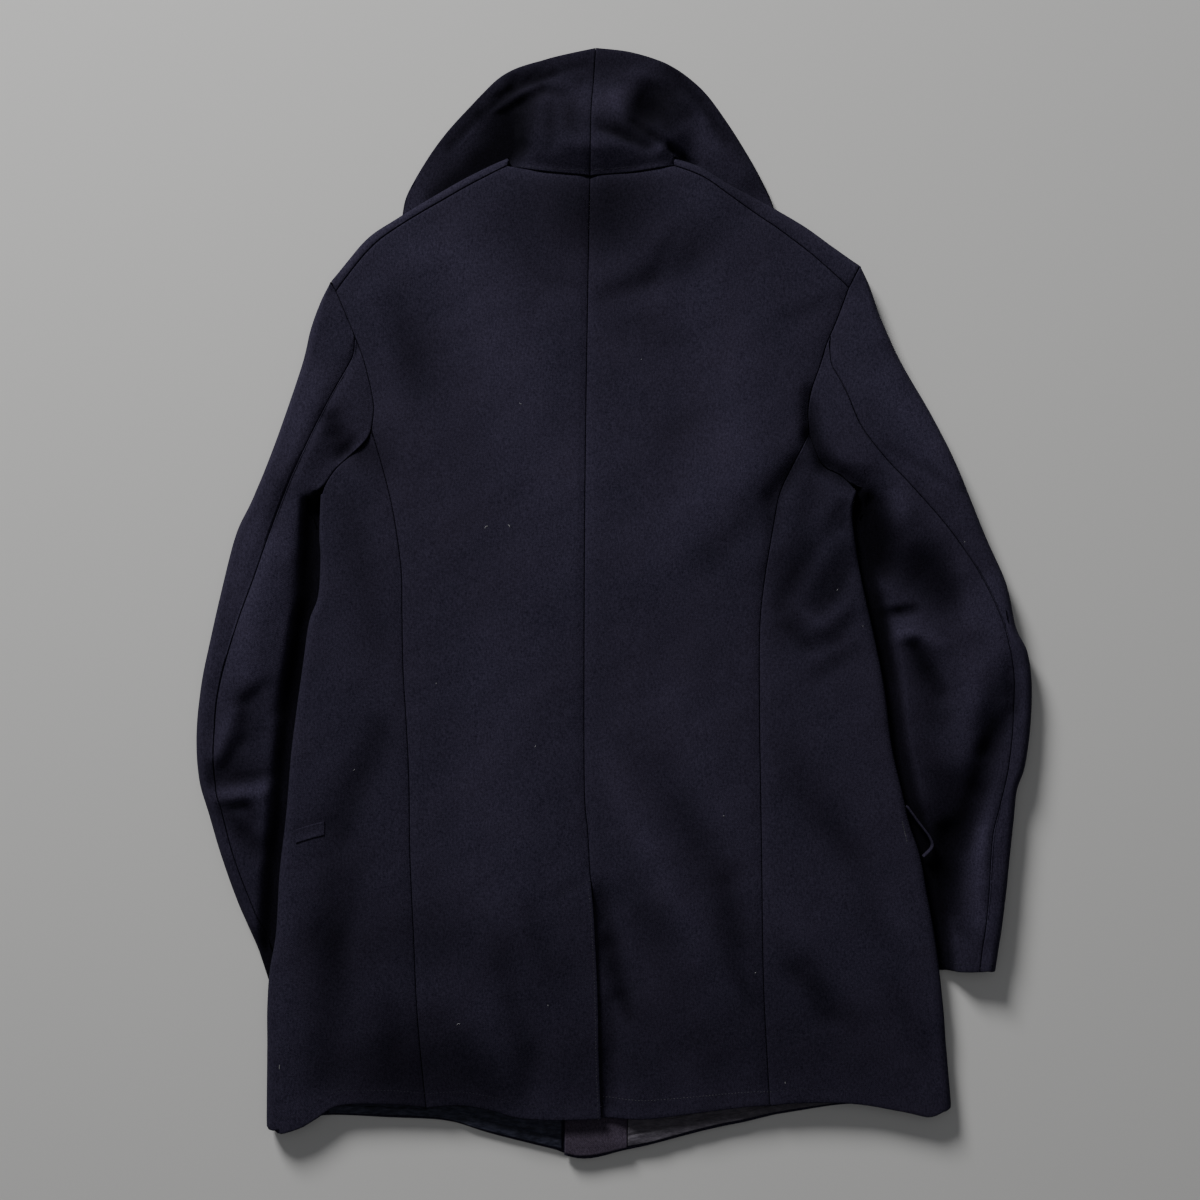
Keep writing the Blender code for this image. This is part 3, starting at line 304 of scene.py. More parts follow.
SLEEVE_FOLDS = (
    (-266, 84, -274, -10, 7, -8.0), (-276, -40, -290, -95, 8, -6.0), (228, 84, 232, 30, 12, -9.0),
    (232, 2, 240, -60, 8, -6.0), (268, -190, 278, -240, 12, -7.0),
    (-304, -74, -323, -88, 12, -1.4), (-323, -88, -321, -114, 12, -1.2),
    (-321, -114, -330, -139, 12, -1.6), (-330, -139, -346, -156, 11, -2.0),
    (-348, -150, -307, -151, 11, -2.6), (-340, -180, -307, -218, 13, -2.6),
    (-302, -158, -300, -200, 12, 3.0), (-300, 40, -318, -60, 22, 4.0),
    (-285, 120, -262, 190, 16, 2.5), (243, 44, 290, 8, 22, -6.0), (296, 10, 262, 58, 18, -3.0),
    (239, -33, 270, -30, 13, 2.2), (263, -37, 283, -99, 14, -4.0), (345, -57, 329, -107, 13, -2.8),
    (329, -107, 318, -155, 14, -3.6), (318, -155, 305, -200, 15, -4.4),
    (295, -160, 290, -270, 16, -4.6), (325, -150, 322, -280, 12, 3.0),
    (330, 10, 345, -60, 14, 3.0), (240, 190, 290, 110, 18, 3.0), (-305, -72, -322, -86, 6, -1.6),
    (-322, -86, -325, -120, 6, -1.8), (-325, -120, -345, -148, 6, -1.8),
    (-312, -90, -312, -135, 9, -1.0), (-350, -158, -302, -151, 5, -2.2),
    (-344, -170, -304, -166, 7, 2.6), (-342, -180, -322, -177, 5, -2.0),
    (-336, -190, -314, -216, 8, -2.4), (-322, -178, -310, -192, 6, -2.0),
    (-332, -96, -346, -134, 7, 2.4), (-300, 96, -330, 20, 9, 1.4), (-246, 160, -238, 136, 9, -4.0),
    (-240, 128, -228, 143, 5, -3.0), (-262, 120, -290, 40, 12, 1.2), (173, 168, 174, 145, 8, -5.0),
    (174, 145, 186, 121, 8, -6.0), (186, 121, 214, 103, 8, -6.0), (222, 92, 236, 40, 12, -6.0),
    (234, -14, 237, -62, 6, -6.0), (240, -10, 262, -6, 5, -5.0), (242, -30, 262, -27, 7, 2.0),
    (262, -27, 285, -38, 7, 1.8), (264, -38, 286, -78, 7, -4.5), (270, -110, 290, -190, 18, -3.0),
    (346, -62, 350, -92, 6, -3.0), (345, -98, 328, -128, 8, -4.5), (328, -128, 320, -165, 9, -4.5),
    (320, -165, 304, -212, 9, -5.0), (294, -202, 293, -268, 10, -9.0),
    (298, -282, 306, -290, 8, -2.5), (238, 138, 304, 96, 4, -1.4), (318, -60, 310, -140, 14, 2.0),
    (322, -200, 326, -290, 8, 2.4), (250, 96, 262, 56, 9, 2.0), (304, 26, 316, -20, 10, 2.5),
)
COLLAR_FOLDS = (
    (-145, 404, -119, 433, 6, -1.8), (-119, 433, -87, 460, 6, -1.8), (-87, 460, -55, 470, 6, -1.8),
    (-140, 412, -100, 450, 7, 2.0), (-88, 432, -98, 400, 20, -9.0),
    (-98, 400, -150, 366, 16, -3.5), (22, 420, 48, 452, 18, -7.0), (30, 402, 66, 430, 9, -2.5),
    (-11, 419, 32, 402, 7, -2.5), (32, 408, 52, 392, 8, 1.8), (70, 420, 110, 380, 15, 3.5),
    (-54, 436, -54, 402, 6, -2.0),
)
SMALL_COLLAR_FOLDS = (
    (-147, 405, -120, 432, 4, -2.4), (-120, 432, -90, 452, 4, -3.2), (-90, 452, -55, 468, 4, -3.4),
    (-55, 468, -25, 478, 4, -1.8), (-140, 398, -110, 430, 5, 1.6), (-110, 430, -75, 453, 5, 1.8),
    (-97, 431, -80, 440, 5, -2.4), (-80, 440, -62, 452, 5, -2.8), (-62, 452, -46, 448, 5, -2.4),
    (-112, 428, -98, 433, 4, -2.0), (-90, 424, -96, 404, 8, -7.0), (-92, 402, -118, 390, 9, -8.0),
    (-118, 388, -160, 358, 8, -5.0), (-86, 404, -80, 398, 6, -4.0), (-40, 445, -36, 416, 9, -2.0),
    (-30, 461, -29, 458, 5, -1.2), (30, 452, 26, 432, 10, -4.0), (26, 432, 44, 428, 10, -3.0),
    (18, 422, 32, 411, 3.5, -4.0), (32, 411, 50, 398, 3.5, -4.0), (50, 398, 70, 386, 4, -4.5),
    (-12, 415, 2, 412, 3.5, -2.2), (2, 412, 14, 405, 3.5, -3.0), (14, 405, 28, 400, 3.5, -1.5),
    (2, 445, 10, 418, 7, 1.6), (20, 466, 52, 458, 7, 1.5), (58, 448, 80, 424, 6, 1.4),
    (50, 470, 75, 446, 4, -1.2), (75, 446, 100, 406, 4, -1.4), (-70, 396, 40, 396, 9, 1.2),
)

# Painted shade and painted light: broad parts painted darker where they lie in shade and lighter
# where more light falls, in the same columns.
PAINTED_SHADE_AREAS = (
    (-70, 332, 55, 326, 40, -0.9), (-30, 368, 20, 368, 26, -0.4), (-186, 240, -166, 200, 26, -0.3),
    (-152, 398, -92, 456, 26, -0.7), (-72, 422, -2, 420, 22, -0.5), (-72, 384, 40, 384, 10, 0.3),
    (-60, 472, 40, 474, 20, -0.7), (72, 440, 122, 376, 26, -0.9),
    (-240, -300, -60, -320, 45, -0.5), (-230, -404, -120, -424, 38, -0.8),
    (-60, -400, 0, -404, 40, -0.4), (60, -380, 230, -396, 50, -0.4), (150, 60, 190, 0, 40, -0.3),
)

# Seams pull the cloth down a little: line, half width, depth.
SEAM_DIPS = [(CENTRE_SEAM, 5.0, -1.2)]
HIND_DIPS = []
COLLAR_DIPS = [(COLLAR_CENTRE, 4.0, -0.9)]
for half in HALVES:
    SEAM_DIPS += [(SIDE_SEAM[half], 5.0, -1.1), (SHOULDER[half], 3.0, -0.3),
                  (NECK[half], 5.0, -1.2), (ARMHOLE[half], 6.0, -1.3)]
    HIND_DIPS += [(HIND[half], 5.0, -1.2), (ARMHOLE[half], 7.0, -2.0)]

# How finely each run of cloth is drawn: steps along it.
CURVE_STEPS = 12
BODY_ROWS = 150
ARM_ROWS = 36
HIND_ROWS = 12
TIP_STEPS = 3          # from the sleeve's outer fold to the armhole's first place
VENT_ROWS = 56
FLAP_STEPS = 12
FLAP_SHORT = 6         # rows by which the vent's lower flap ends below the vent's top
UNDERARM_STEPS = 16
SIDE_STEPS = 30
SHOULDER_STEPS = 46
SEAM_STEPS = 4
NECK_STEPS = 22
FRONT_ARM_ROWS = 26
FRONT_EDGE_STEPS = 10
COLLAR_ROWS = 36
COLLAR_END_STEPS = 84
COLLAR_FINE = 4000
LINING_COLUMNS, LINING_ROWS = 150, 44
FACING_COLUMNS, FACING_ROWS = 30, 32
LEFT_WELT_STEPS = (18, 9)
RIGHT_WELT_STEPS = (40, 7)
STITCH_LINE_STEPS = 60
FOLD_ANGLES = np.radians((-78, -64, -50, -36, -22, -8, 8, 22, 36, 50, 64, 78))
SHOULDER_ARC = 10

# A sleeve's places run from nought at the cuff to its whole length, and crowd at the armpit.
SLEEVE_LONG = 48.0
SLEEVE_STEP = 0.28
SLEEVE_FINE = 4800
ARMPIT_FAN = 1.6
CAP_FROM = 45
LEDGE_TURN = 1.6       # how fast the ledge runs out round the fold
FAR_OUT = 1000         # a place far outside the arms

# The folds narrow to the armpit and to the shoulder: share or place of the way up, radius.
SIDE_RADII = ((0, 14 / 16, 15 / 16, 1), (FOLD_R, FOLD_R, 5.0, 2.0))
SLEEVE_RADII = ((0, CAP_FROM, 46, 47, SLEEVE_LONG), (FOLD_R, FOLD_R, 6.0, 4.0, 2.0))
SHOULDER_RADII = ((0, 5 / 6, 1), (FOLD_R, FOLD_R, 2.0))
BEND_RUN = 14.0        # a line is bent to its neighbour over this run,
STRIP_BEND_RUN = 40.0  # and the front strip's hem over this one
HEM_TILT = {"left": 0.33, "right": 0.27}   # the side fold slants in at the hem,
HEM_TILT_RUN = 14                          # over this run
WEAK_MITRE = 0.2       # below this two edges turn back on each other,
LEAST_MITRE = 0.35     # and below this their corner would stand out too far

SWAY = 0.12            # stitches stand this much out of line

# Stitches: length, pitch, thickness, depth in the nap.
STITCHES = {
    "hem": (1.7, 2.9, 0.45, 0.08),
    "hem beside vent": (1.5, 2.8, 0.42, 0.05),
    "vent": (1.4, 2.7, 0.42, 0.05),
    "slanting tack": (2.4, 2.7, 0.8, 0.1),
    "upright tack": (2.2, 2.6, 0.7, 0.15),
    "neck": (2.2, 3.4, 0.5, 0.1),
    "cuff": (2.4, 3.3, 0.6, 0.12),
}
HEM_STITCH_IN = 12.5
VENT_STITCH_IN = 2.8
VENT_TACK = ((-21.5, -243), (-34, -249), (-47, -254.5), (-48, -266))
NECK_STITCH_LINE = ((-81, 383.4), (-52, 380.6), (-21, 379.6), (16, 382.4), (32, 384.6))
CUFF_STITCH_LINE = {
    "left": ((-300, -330), (-292, -328)),
    "right": ((202, -318), (250, -317), (300, -316), (330, -315)),
}
POCKET_TACK = {
    "left": ((-258, -199.0), (-256.4, -197.4), (-254.6, -196.2)),
    "right": ((252.6, -192), (254.4, -199), (256.6, -208)),
}

# Lint: x, y, length, direction, bow.
LINT = (
    (-112, 67, 2.6, 0.6, 0.5), (-92, 68, 2.2, 2.2, -0.3), (-69, -125, 1.3, 1.0, 0),
    (-136.5, -369, 2.2, 0.3, 0.6), (-293, -406, 3.0, 1.5, 0.2), (-82, 175, 1.4, 2.6, 0.5),
    (196, 12, 1.1, 0.9, 0), (218, -20, 0.9, 2.0, 0), (124, -324, 1.0, 0.4, 0),
    (150, -420, 1.2, 1.7, 0.2), (-58, -352, 1.0, 2.4, 0), (96, -186, 0.9, 0.2, 0),
    (306, 54, 1.0, 1.2, 0), (24, 214, 0.9, 0.8, 0), (-156, -70, 0.9, 2.1, 0),
    (-228, -146, 1.0, 0.5, 0),
)


# ------------------------------------------------------------------ drafting curves

def unit(vectors):
    """Vectors made one long."""
    return vectors / np.maximum(np.linalg.norm(vectors, axis=-1), TINY)[..., None]


def lengths_along(points):
    """Distance of each point of a line from its start, along the line."""
    return np.concatenate(([0.0], np.cumsum(np.linalg.norm(np.diff(points, axis=0), axis=1))))


def evenly(points, count):
    """A line's points made evenly spaced, its bends kept."""
    points = np.asarray(points, float)
    lengths = lengths_along(points)
    want = np.linspace(0, lengths[-1], count + 1)
    return np.column_stack([np.interp(want, lengths, points[:, k]) for k in range(2)])


def smooth(points, count):
    """Points evenly spaced along a soft curve through the given ones."""
    given = np.asarray(points, float)
    t = (np.arange(CURVE_STEPS) / CURVE_STEPS)[:, None]
    runs = []
    for k, (start, end) in enumerate(zip(given, given[1:])):
        before = given[max(k - 1, 0)]
        after = given[min(k + 2, len(given) - 1)]
        runs.append(start * (2 * t**3 - 3 * t**2 + 1) + (end - before) / 2 * (t**3 - 2 * t**2 + t)
                    + end * (3 * t**2 - 2 * t**3) + (after - start) / 2 * (t**3 - t**2))
    return evenly(np.vstack(runs + [given[-1:]]), count)


def chain(*curves):
    """Curves end to end, without the doubled points."""
    return np.vstack([curves[0]] + [curve[1:] for curve in curves[1:]])


def moved_to(points, start, end, from_start, from_end):
    """A line moved to new ends, each of which pulls every point by its own share."""
    ends = ((start, points[0], from_start), (end, points[-1], from_end))
    for new_end, old_end, share in ends:
        if new_end is not None:
            points = points + (np.asarray(new_end) - old_end) * share[:, None]
    return points


def fitted(points, start=None, end=None):
    """A line stretched a little all along, so that it starts and ends at the given places."""
    t = np.linspace(0, 1, len(points))
    return moved_to(points, start, end, 1 - t, t)


def bent(points, start=None, end=None, run=BEND_RUN):
    """A line with only its last few millimetres bent to the given ends."""
    lengths = lengths_along(points)
    from_start = np.clip(1 - lengths / run, 0, 1) ** 2
    from_end = np.clip(1 - (lengths[-1] - lengths) / run, 0, 1) ** 2
    return moved_to(points, start, end, from_start, from_end)


def panel(bottom, top, left, right, pulls=None):
    """Rows of points that fill four edges; bottom and top run from left to right."""
    u = np.linspace(0, 1, len(bottom))[None, :, None]
    v = np.linspace(0, 1, len(left)) if pulls is None else pulls
    v = v[:, None, None]
    low = bottom - (bottom[0] * (1 - u[0]) + bottom[-1] * u[0])
    high = top - (top[0] * (1 - u[0]) + top[-1] * u[0])
    across = left[:, None, :] * (1 - u) + right[:, None, :] * u
    return across + low[None] * (1 - v) + high[None] * v


def pull_in(rows):
    """Rows with their outer loop moved in by half a seam gap."""
    up, across = rows.shape[0] - 1, rows.shape[1] - 1
    loop = [(0, i) for i in range(across)] + [(j, across) for j in range(up)]
    loop += [(up, i) for i in range(across, 0, -1)] + [(j, 0) for j in range(up, 0, -1)]
    spots = np.array([rows[j, i] for j, i in loop])
    after = np.roll(spots, -1, axis=0)
    turn = np.sign(np.sum(spots[:, 0] * after[:, 1] - after[:, 0] * spots[:, 1]))
    ahead = unit(after - spots)
    before, here = (np.column_stack([-way[:, 1], way[:, 0]]) * turn
                    for way in (np.roll(ahead, 1, axis=0), ahead))
    mitre = before + here
    weak = np.linalg.norm(mitre, axis=1) < WEAK_MITRE
    mitre[weak] = before[weak]
    mitre /= np.maximum(np.sum(mitre * before, axis=1), LEAST_MITRE)[:, None]
    moved = rows.copy()
    for (j, i), spot in zip(loop, spots + mitre * SEAM_GAP / 2):
        moved[j, i] = spot
    return moved


def inward(points, towards):
    """Unit normals of a line, on the side of the given place."""
    ahead = np.gradient(points, axis=0)
    normals = unit(np.column_stack([-ahead[:, 1], ahead[:, 0]]))
    normals[np.sum(normals * (np.asarray(towards) - points), axis=1) < 0] *= -1
    return normals


def x_at(points, y):
    """x of a line at each y."""
    return np.interp(y, *zip(*sorted((up, across) for across, up in points)))


def y_at(points, x):
    """y of a line at each x."""
    return np.interp(x, *zip(*sorted(points)))


# ------------------------------------------------------------------ heights of the cloth

def ease(t):
    """A soft step from nought to one."""
    t = np.clip(t, 0.0, 1.0)
    return t * t * (3 - 2 * t)


def between(t, low, rise, high, fall):
    """One between two places, with soft runs in from nought."""
    return ease((t - low) / rise) * ease((high - t) / fall)


def past(lines, x, y):
    """How far a place lies outside a left and a right line."""
    return np.maximum(x_at(lines["left"], y) - x, x - x_at(lines["right"], y))


def along_and_off(start, end, x, y):
    """Share of the way along a straight line, and distance from it, at each place."""
    (x0, y0), (x1, y1) = start, end
    dx, dy = x1 - x0, y1 - y0
    t = np.clip(((x - x0) * dx + (y - y0) * dy) / max(dx * dx + dy * dy, TINY), 0, 1)
    return t, np.hypot(x - x0 - dx * t, y - y0 - dy * t)


def fold_height(table, x, y):
    """Sum of the soft ridges and troughs at each place."""
    total = np.zeros_like(x)
    for x0, y0, x1, y1, half_width, height in table:
        t, off = along_and_off((x0, y0), (x1, y1), x, y)
        total += height * np.exp(-(off / half_width) ** 2) * (1 - END_FADE * np.abs(2 * t - 1))
    return total


def off_line(points, x, y):
    """Distance from each place to a line."""
    best = np.full_like(x, np.inf)
    for start, end in zip(points, points[1:]):
        best = np.minimum(best, along_and_off(start, end, x, y)[1])
    return best


def dip_height(table, x, y):
    """Sum of the dips along seams."""
    return sum(depth * np.exp(-(off_line(line, x, y) / half_width) ** 2)
               for line, half_width, depth in table)


def uneven(x, y):
    """Slight unevenness of heavy cloth that lies on cloth."""
    slow = np.sin(x / 15 + 1.2 * np.sin(y / 33)) * np.sin(y / 21 + 0.9 * np.sin(x / 27))
    quick = np.sin(x / 8.3 - y / 12.1 + 1.1 * np.sin(y / 26)) * np.sin(y / 14 + x / 40)
    fine = np.sin(x / 3.9 + 1.4 * np.sin(y / 9.1)) * np.sin(y / 4.7 + 1.1 * np.sin(x / 11))
    return 0.45 * slow + 0.22 * quick + 0.07 * fine


def sleeve_lift(x, y):
    """Height that a front has to rise over the sleeve under it."""
    ramp = ease((past(SLEEVE_IN, x, y) + 48) / 36)
    return (SLEEVE_FLAT + LAYER_GAP) * ramp * between(y, *SLEEVE_REACH)


def collar_lift(x, y):
    """Height that a front has to rise over the collar's hidden ends."""
    across = np.maximum(between(x, *COLLAR_REACH["left"]), between(x, *COLLAR_REACH["right"]))
    line = 388 - 0.6 * (np.abs(x - MIDDLE_X) - 75)
    return (COLLAR_FLAT + LAYER_GAP) * across * ease((y - line + 78) / 34)


def button_lift(x, y):
    """Height of the left front over its buttons."""
    return FRONT_LIFT * between(x, *BUTTONS_ACROSS) * between(y, *BUTTONS_ALONG)


def under_lift(x, y):
    """Height of the right front over the left one."""
    across = ease((FRONT_EDGE_X["left"] + LEAD_IN - x) / 34)
    over_buttons = FRONT_LIFT * ease((y - BUTTONS_ALONG[0] + 30) / 30)
    raised = over_buttons + WALL + LAYER_GAP + OVERLAP_ROOM
    return raised * across * ease((OVERLAP_TOP - y) / 30)


def front_floor(x, y, carried=button_lift):
    """Underside of a front; the left one unless told otherwise."""
    return np.maximum(np.maximum(sleeve_lift(x, y), collar_lift(x, y)), carried(x, y))


def right_front_floor(x, y):
    return front_floor(x, y, under_lift)


def body_folds(x, y):
    """Folds of the body, shallower towards the hem."""
    height = fold_height(BODY_FOLDS, x, y) + SMALL_SHARE * fold_height(SMALL_BODY_FOLDS, x, y)
    return height * (1 - HEM_CALM * ease((CALM_FROM - y) / CALM_RUN))


def body_top(x, y):
    """Top of the coat's body, with its folds and seams, over the cloths that lie under it."""
    middle = MIDDLE_SWELL * ease((150 - np.abs(x - MIDDLE_X)) / 120)
    side = SIDE_SWELL * ease((np.abs(x) - 170) / 60)
    form = BODY_TOP + middle + side + body_folds(x, y) + dip_height(SEAM_DIPS, x, y) + uneven(x, y)
    under = np.maximum(front_floor(x, y), right_front_floor(x, y)) + 2 * WALL + LINING_GAP
    return np.maximum(form, under)


def right_back_top(x, y):
    """Top of the right back, which dips under the left one at the vent."""
    beside = ease((34 - (x - x_at(VENT_EDGE, y))) / 30)
    below = ease((VENT_TOP + 4 - y) / 36)
    return body_top(x, y) - VENT_DROP * beside * below + below * fold_height(VENT_FOLDS, x, y)


def rounded_down(x, y, top, fold):
    """Height of the upper cloth where it rounds down to the shoulder fold."""
    t = 1 - np.minimum(off_line(fold, x, y) / FOLD_R, 1.0)
    floor = front_floor(x, y)
    return floor + (top - floor) * (0.5 + 0.5 * np.sqrt(np.maximum(1 - t * t, 0.0)))


def sleeve_top(x, y):
    """Top of a sleeve: puffed beside the body, flat under it."""
    out = past(OUTLINE, x, y)
    puff = BODY_TOP + PUFF_BASE + PUFF * ease((out - 8) / 40) + fold_height(SLEEVE_FOLDS, x, y)
    puff = puff + dip_height(HIND_DIPS, x, y) + uneven(x, y)
    beside = np.maximum(ease((out - 6) / 13), ease((y - 78) / 18))
    return np.maximum(SLEEVE_FLAT + (puff - SLEEVE_FLAT) * beside, SLEEVE_FLAT)


def collar_top(x, y):
    """Top of the spread collar, held down where it goes under the shoulders."""
    off = np.abs(x - MIDDLE_X)
    away = np.maximum(y - NECK_Y - NECK_CURVE * off * off, 0.0)
    curve = smooth(COLLAR_RISE, 200)
    rise = np.interp(away, curve[:, 0], curve[:, 1])
    stand = (rise - COLLAR_FLAT) * ease((98 - off) / 38)
    folds = COLLAR_DEPTH * fold_height(COLLAR_FOLDS, x, y) + fold_height(SMALL_COLLAR_FOLDS, x, y)
    form = COLLAR_FLAT + stand + folds + dip_height(COLLAR_DIPS, x, y)
    form = form + 0.6 * uneven(x, y) * ease((away - 4) / 20)
    beyond = {"left": x < NECK["left"][-1][0], "right": x > NECK["right"][-1][0]}
    under = sum(np.maximum(y_at(TOP_FOLD[half], x) - y, 0) * beyond[half] for half in HALVES)
    room = np.maximum(collar_lift(x, y) - UNDER_ROOM, COLLAR_FLAT)
    form = np.where(under > 0, np.minimum(form, room), form)
    return np.maximum(form, COLLAR_FLAT)


# ------------------------------------------------------------------ painted shade and light on the nap

def painted_shade_from_folds(folds, x, y, depth=6):
    """Painted shade and light: from nought, painted dark, in a deep fold to one, painted light, on
    a ridge, with the broad painted areas added.
    """
    return 0.5 + 0.5 * np.tanh(folds / depth + fold_height(PAINTED_SHADE_AREAS, x, y))


# Painted shade of the body: dark in its folds and broad shaded parts, light on its ridges.
def body_painted_shade(x, y):
    return painted_shade_from_folds(body_folds(x, y), x, y)


def right_back_painted_shade(x, y):
    in_vent = ease((VENT_TOP - y) / 30)
    return painted_shade_from_folds(body_folds(x, y) + fold_height(VENT_FOLDS, x, y) * in_vent, x, y)


def sleeve_painted_shade(x, y):
    """Painted shade of a sleeve: darker in its folds, and painted dark in the valley beside the
    body where the body shades it.
    """
    valley = 9.0 * ease((18 - past(OUTLINE, x, y)) / 10) * ease((ARMPIT_Y - y) / 12)
    return 0.5 + 0.5 * np.tanh((fold_height(SLEEVE_FOLDS, x, y) - valley) / 6)


def collar_painted_shade(x, y):
    folds = fold_height(COLLAR_FOLDS, x, y) + fold_height(SMALL_COLLAR_FOLDS, x, y)
    return painted_shade_from_folds(folds, x, y, depth=5)


def no_painted_shade(x, y):
    return np.full_like(x, 0.5)


# ------------------------------------------------------------------ making cloth

def over(height, rows):
    """A height at each point of some rows."""
    return height(rows[..., 0], rows[..., 1])


def new_piece(name, points, faces, mat):
    """A smooth piece of its own, its points moved from the pattern to round the coat's middle."""
    moved = np.array(points, float)
    moved[:, :2] -= CENTRE
    mesh = bpy.data.meshes.new(name)
    mesh.from_pydata((moved * MM).tolist(), [], faces)
    mesh.polygons.foreach_set("use_smooth", np.ones(len(mesh.polygons), bool))
    mesh.update()
    mesh.materials.append(mat)
    piece = bpy.data.objects.new(name, mesh)
    bpy.context.scene.collection.objects.link(piece)
    return piece


def lay(rows, height, wall=WALL, down=False):
    """Outer and inner points of a cloth whose outside looks up, or down."""
    height = over(height, rows) if callable(height) else np.broadcast_to(height, rows.shape[:-1])
    outer = np.dstack([rows, height])
    inner = outer.copy()
    inner[..., 2] += wall if down else -wall
    return outer, inner


def fold_round(edge, inside, normal, radius, top, floor, angles=FOLD_ANGLES):
    """Outer and inner points round a fold, by row and angle."""
    c = np.cos(angles)[None, :, None]
    s = np.sin(angles)[None, :]
    top, floor = over(top, inside), over(floor, inside)
    radius = radius[:, None, None]
    middle = ((top + floor) / 2)[:, None]
    half = ((top - floor) / 2)[:, None]
    outer = edge[:, None, :] + normal[:, None, :] * radius * (1 - c)
    inner = edge[:, None, :] + normal[:, None, :] * (WALL + (radius - WALL) * (1 - c))
    return np.dstack([outer, middle + half * s]), np.dstack([inner, middle + (half - WALL) * s])


def join_across(*pairs):
    """Cloths side by side as one."""
    return tuple(np.concatenate([pair[k] for pair in pairs], axis=1) for k in range(2))


def round_rim(outside, inside, rim):
    """Moves a shell's rim in, and gives its points and the levels of points that round it."""
    through = inside - outside
    wall = np.maximum(np.linalg.norm(through, axis=1), TINY)[:, None]
    deep = through / wall
    side = unit(np.cross(deep[rim[:, 0]], outside[rim[:, 1]] - outside[rim[:, 0]]))
    away = np.zeros_like(outside)
    np.add.at(away, rim[:, 0], side)
    np.add.at(away, rim[:, 1], side)
    on_rim = np.unique(rim)
    start, wall, deep, out = outside[on_rim], wall[on_rim], deep[on_rim], unit(away[on_rim])
    turn = np.minimum(EDGE_ROUND, EDGE_SHARE * wall)
    shy = CORNER_SHARE * turn
    outside[on_rim] -= out * turn
    inside[on_rim] -= out * turn
    return on_rim, [start - out * shy + deep * shy, start + deep * turn,
                    start + deep * (wall - turn), start - out * shy + deep * (wall - shy)]


def cloth(name, pair, mat, painted_shade, present=None):
    """One cloth as a closed thin shell with rounded edges, from its outer and inner points."""
    outer, inner = pair
    present = np.ones(outer.shape[:2], bool) if present is None else present
    full = present[:-1, :-1] & present[1:, :-1] & present[:-1, 1:] & present[1:, 1:]
    used = np.zeros(outer.shape[:2], bool)
    for down in (slice(None, -1), slice(1, None)):
        for across in (slice(None, -1), slice(1, None)):
            used[down, across] |= full
    count = int(used.sum())
    number = np.full(used.shape, -1)
    number[used] = np.arange(count)
    outside, inside = outer[used], inner[used]
    a, b = number[:-1, :-1][full], number[:-1, 1:][full]
    d, c = number[1:, :-1][full], number[1:, 1:][full]
    normals = np.cross(outside[c] - outside[a], outside[d] - outside[b])
    if np.sum(normals * (outside[a] - inside[a])) < 0:
        b, d = d, b
    edges = np.vstack([np.column_stack(side) for side in ((a, b), (b, c), (c, d), (d, a))])
    there = edges[:, 0] * count + edges[:, 1]
    back = edges[:, 1] * count + edges[:, 0]
    rim = edges[~np.isin(there, back)]
    on_rim, levels = round_rim(outside, inside, rim)
    level_of = np.full(count, -1)
    level_of[on_rim] = np.arange(len(on_rim))
    steps = [level_of[rim] + 2 * count + k * len(on_rim) for k in range(len(levels))]
    steps = [rim] + steps + [rim + count]
    faces = [np.column_stack([a, b, c, d]), np.column_stack([d, c, b, a]) + count]
    for upper, lower in zip(steps, steps[1:]):
        faces.append(np.column_stack([upper[:, ::-1], lower]))
    points = np.vstack([outside, inside] + levels)
    piece = new_piece(name, points, np.vstack(faces).tolist(), mat)
    # Each point carries its share of painted shade and painted light, which darkens or lightens
    # the wool's colour.
    painted_shade_share = piece.data.attributes.new("painted_shade_share", "FLOAT", "POINT")
    painted_shade_share.data.foreach_set("value", over(painted_shade, points))
    return piece


# ------------------------------------------------------------------ the coat's pieces

def half_lines(half):
    """The curves that the pieces of one half share."""
    return {
        "seam": smooth(SIDE_SEAM[half], BODY_ROWS)[::-1],
        "armhole": smooth(ARMHOLE[half], ARM_ROWS)[::-1],
        "underarm": smooth(UNDERARM[half], UNDERARM_STEPS),
        "side": smooth(SIDE[half], BODY_ROWS)[::-1],
        "shoulder": smooth(SHOULDER[half], SHOULDER_STEPS),
        "top_fold": smooth(TOP_FOLD[half], SHOULDER_STEPS),
        "neck": smooth(NECK[half], NECK_STEPS),
    }


def back_panel(half, lines, mat):
    """A back panel from hem to neck; the right one carries the vent's lower flap."""
    top_of = {"left": body_top, "right": right_back_top}[half]
    painted_shade = {"left": body_painted_shade, "right": right_back_painted_shade}[half]
    vent = smooth(VENT_EDGE, VENT_ROWS)[::-1]
    centre = chain(vent, smooth(CENTRE_SEAM, BODY_ROWS + ARM_ROWS - VENT_ROWS)[::-1])
    outside = chain(lines["seam"], lines["armhole"])
    top = chain(lines["neck"], lines["shoulder"])
    hem = fitted(smooth(HEM[half], SHOULDER_STEPS + NECK_STEPS), centre[0], outside[0])
    rows = pull_in(panel(hem, top, centre, outside))
    x, y = rows[..., 0], rows[..., 1]
    pair = lay(rows, rounded_down(x, y, top_of(x, y), lines["top_fold"]))
    present = np.ones(rows.shape[:2], bool)
    if half == "right":
        shift = np.linspace(UNDERLAP, UNDERLAP / FLAP_STEPS, FLAP_STEPS)[None, :]
        along = np.repeat(rows[:, :1, 1], FLAP_STEPS, axis=1)
        pair = join_across(lay(np.dstack([rows[:, :1, 0] - shift, along]), top_of), pair)
        hidden = np.zeros((len(rows), FLAP_STEPS), bool)
        hidden[:VENT_ROWS - FLAP_SHORT] = True
        present = np.concatenate([hidden, present], axis=1)
    return cloth("back_" + half + "_cloth", pair, mat, painted_shade, present)


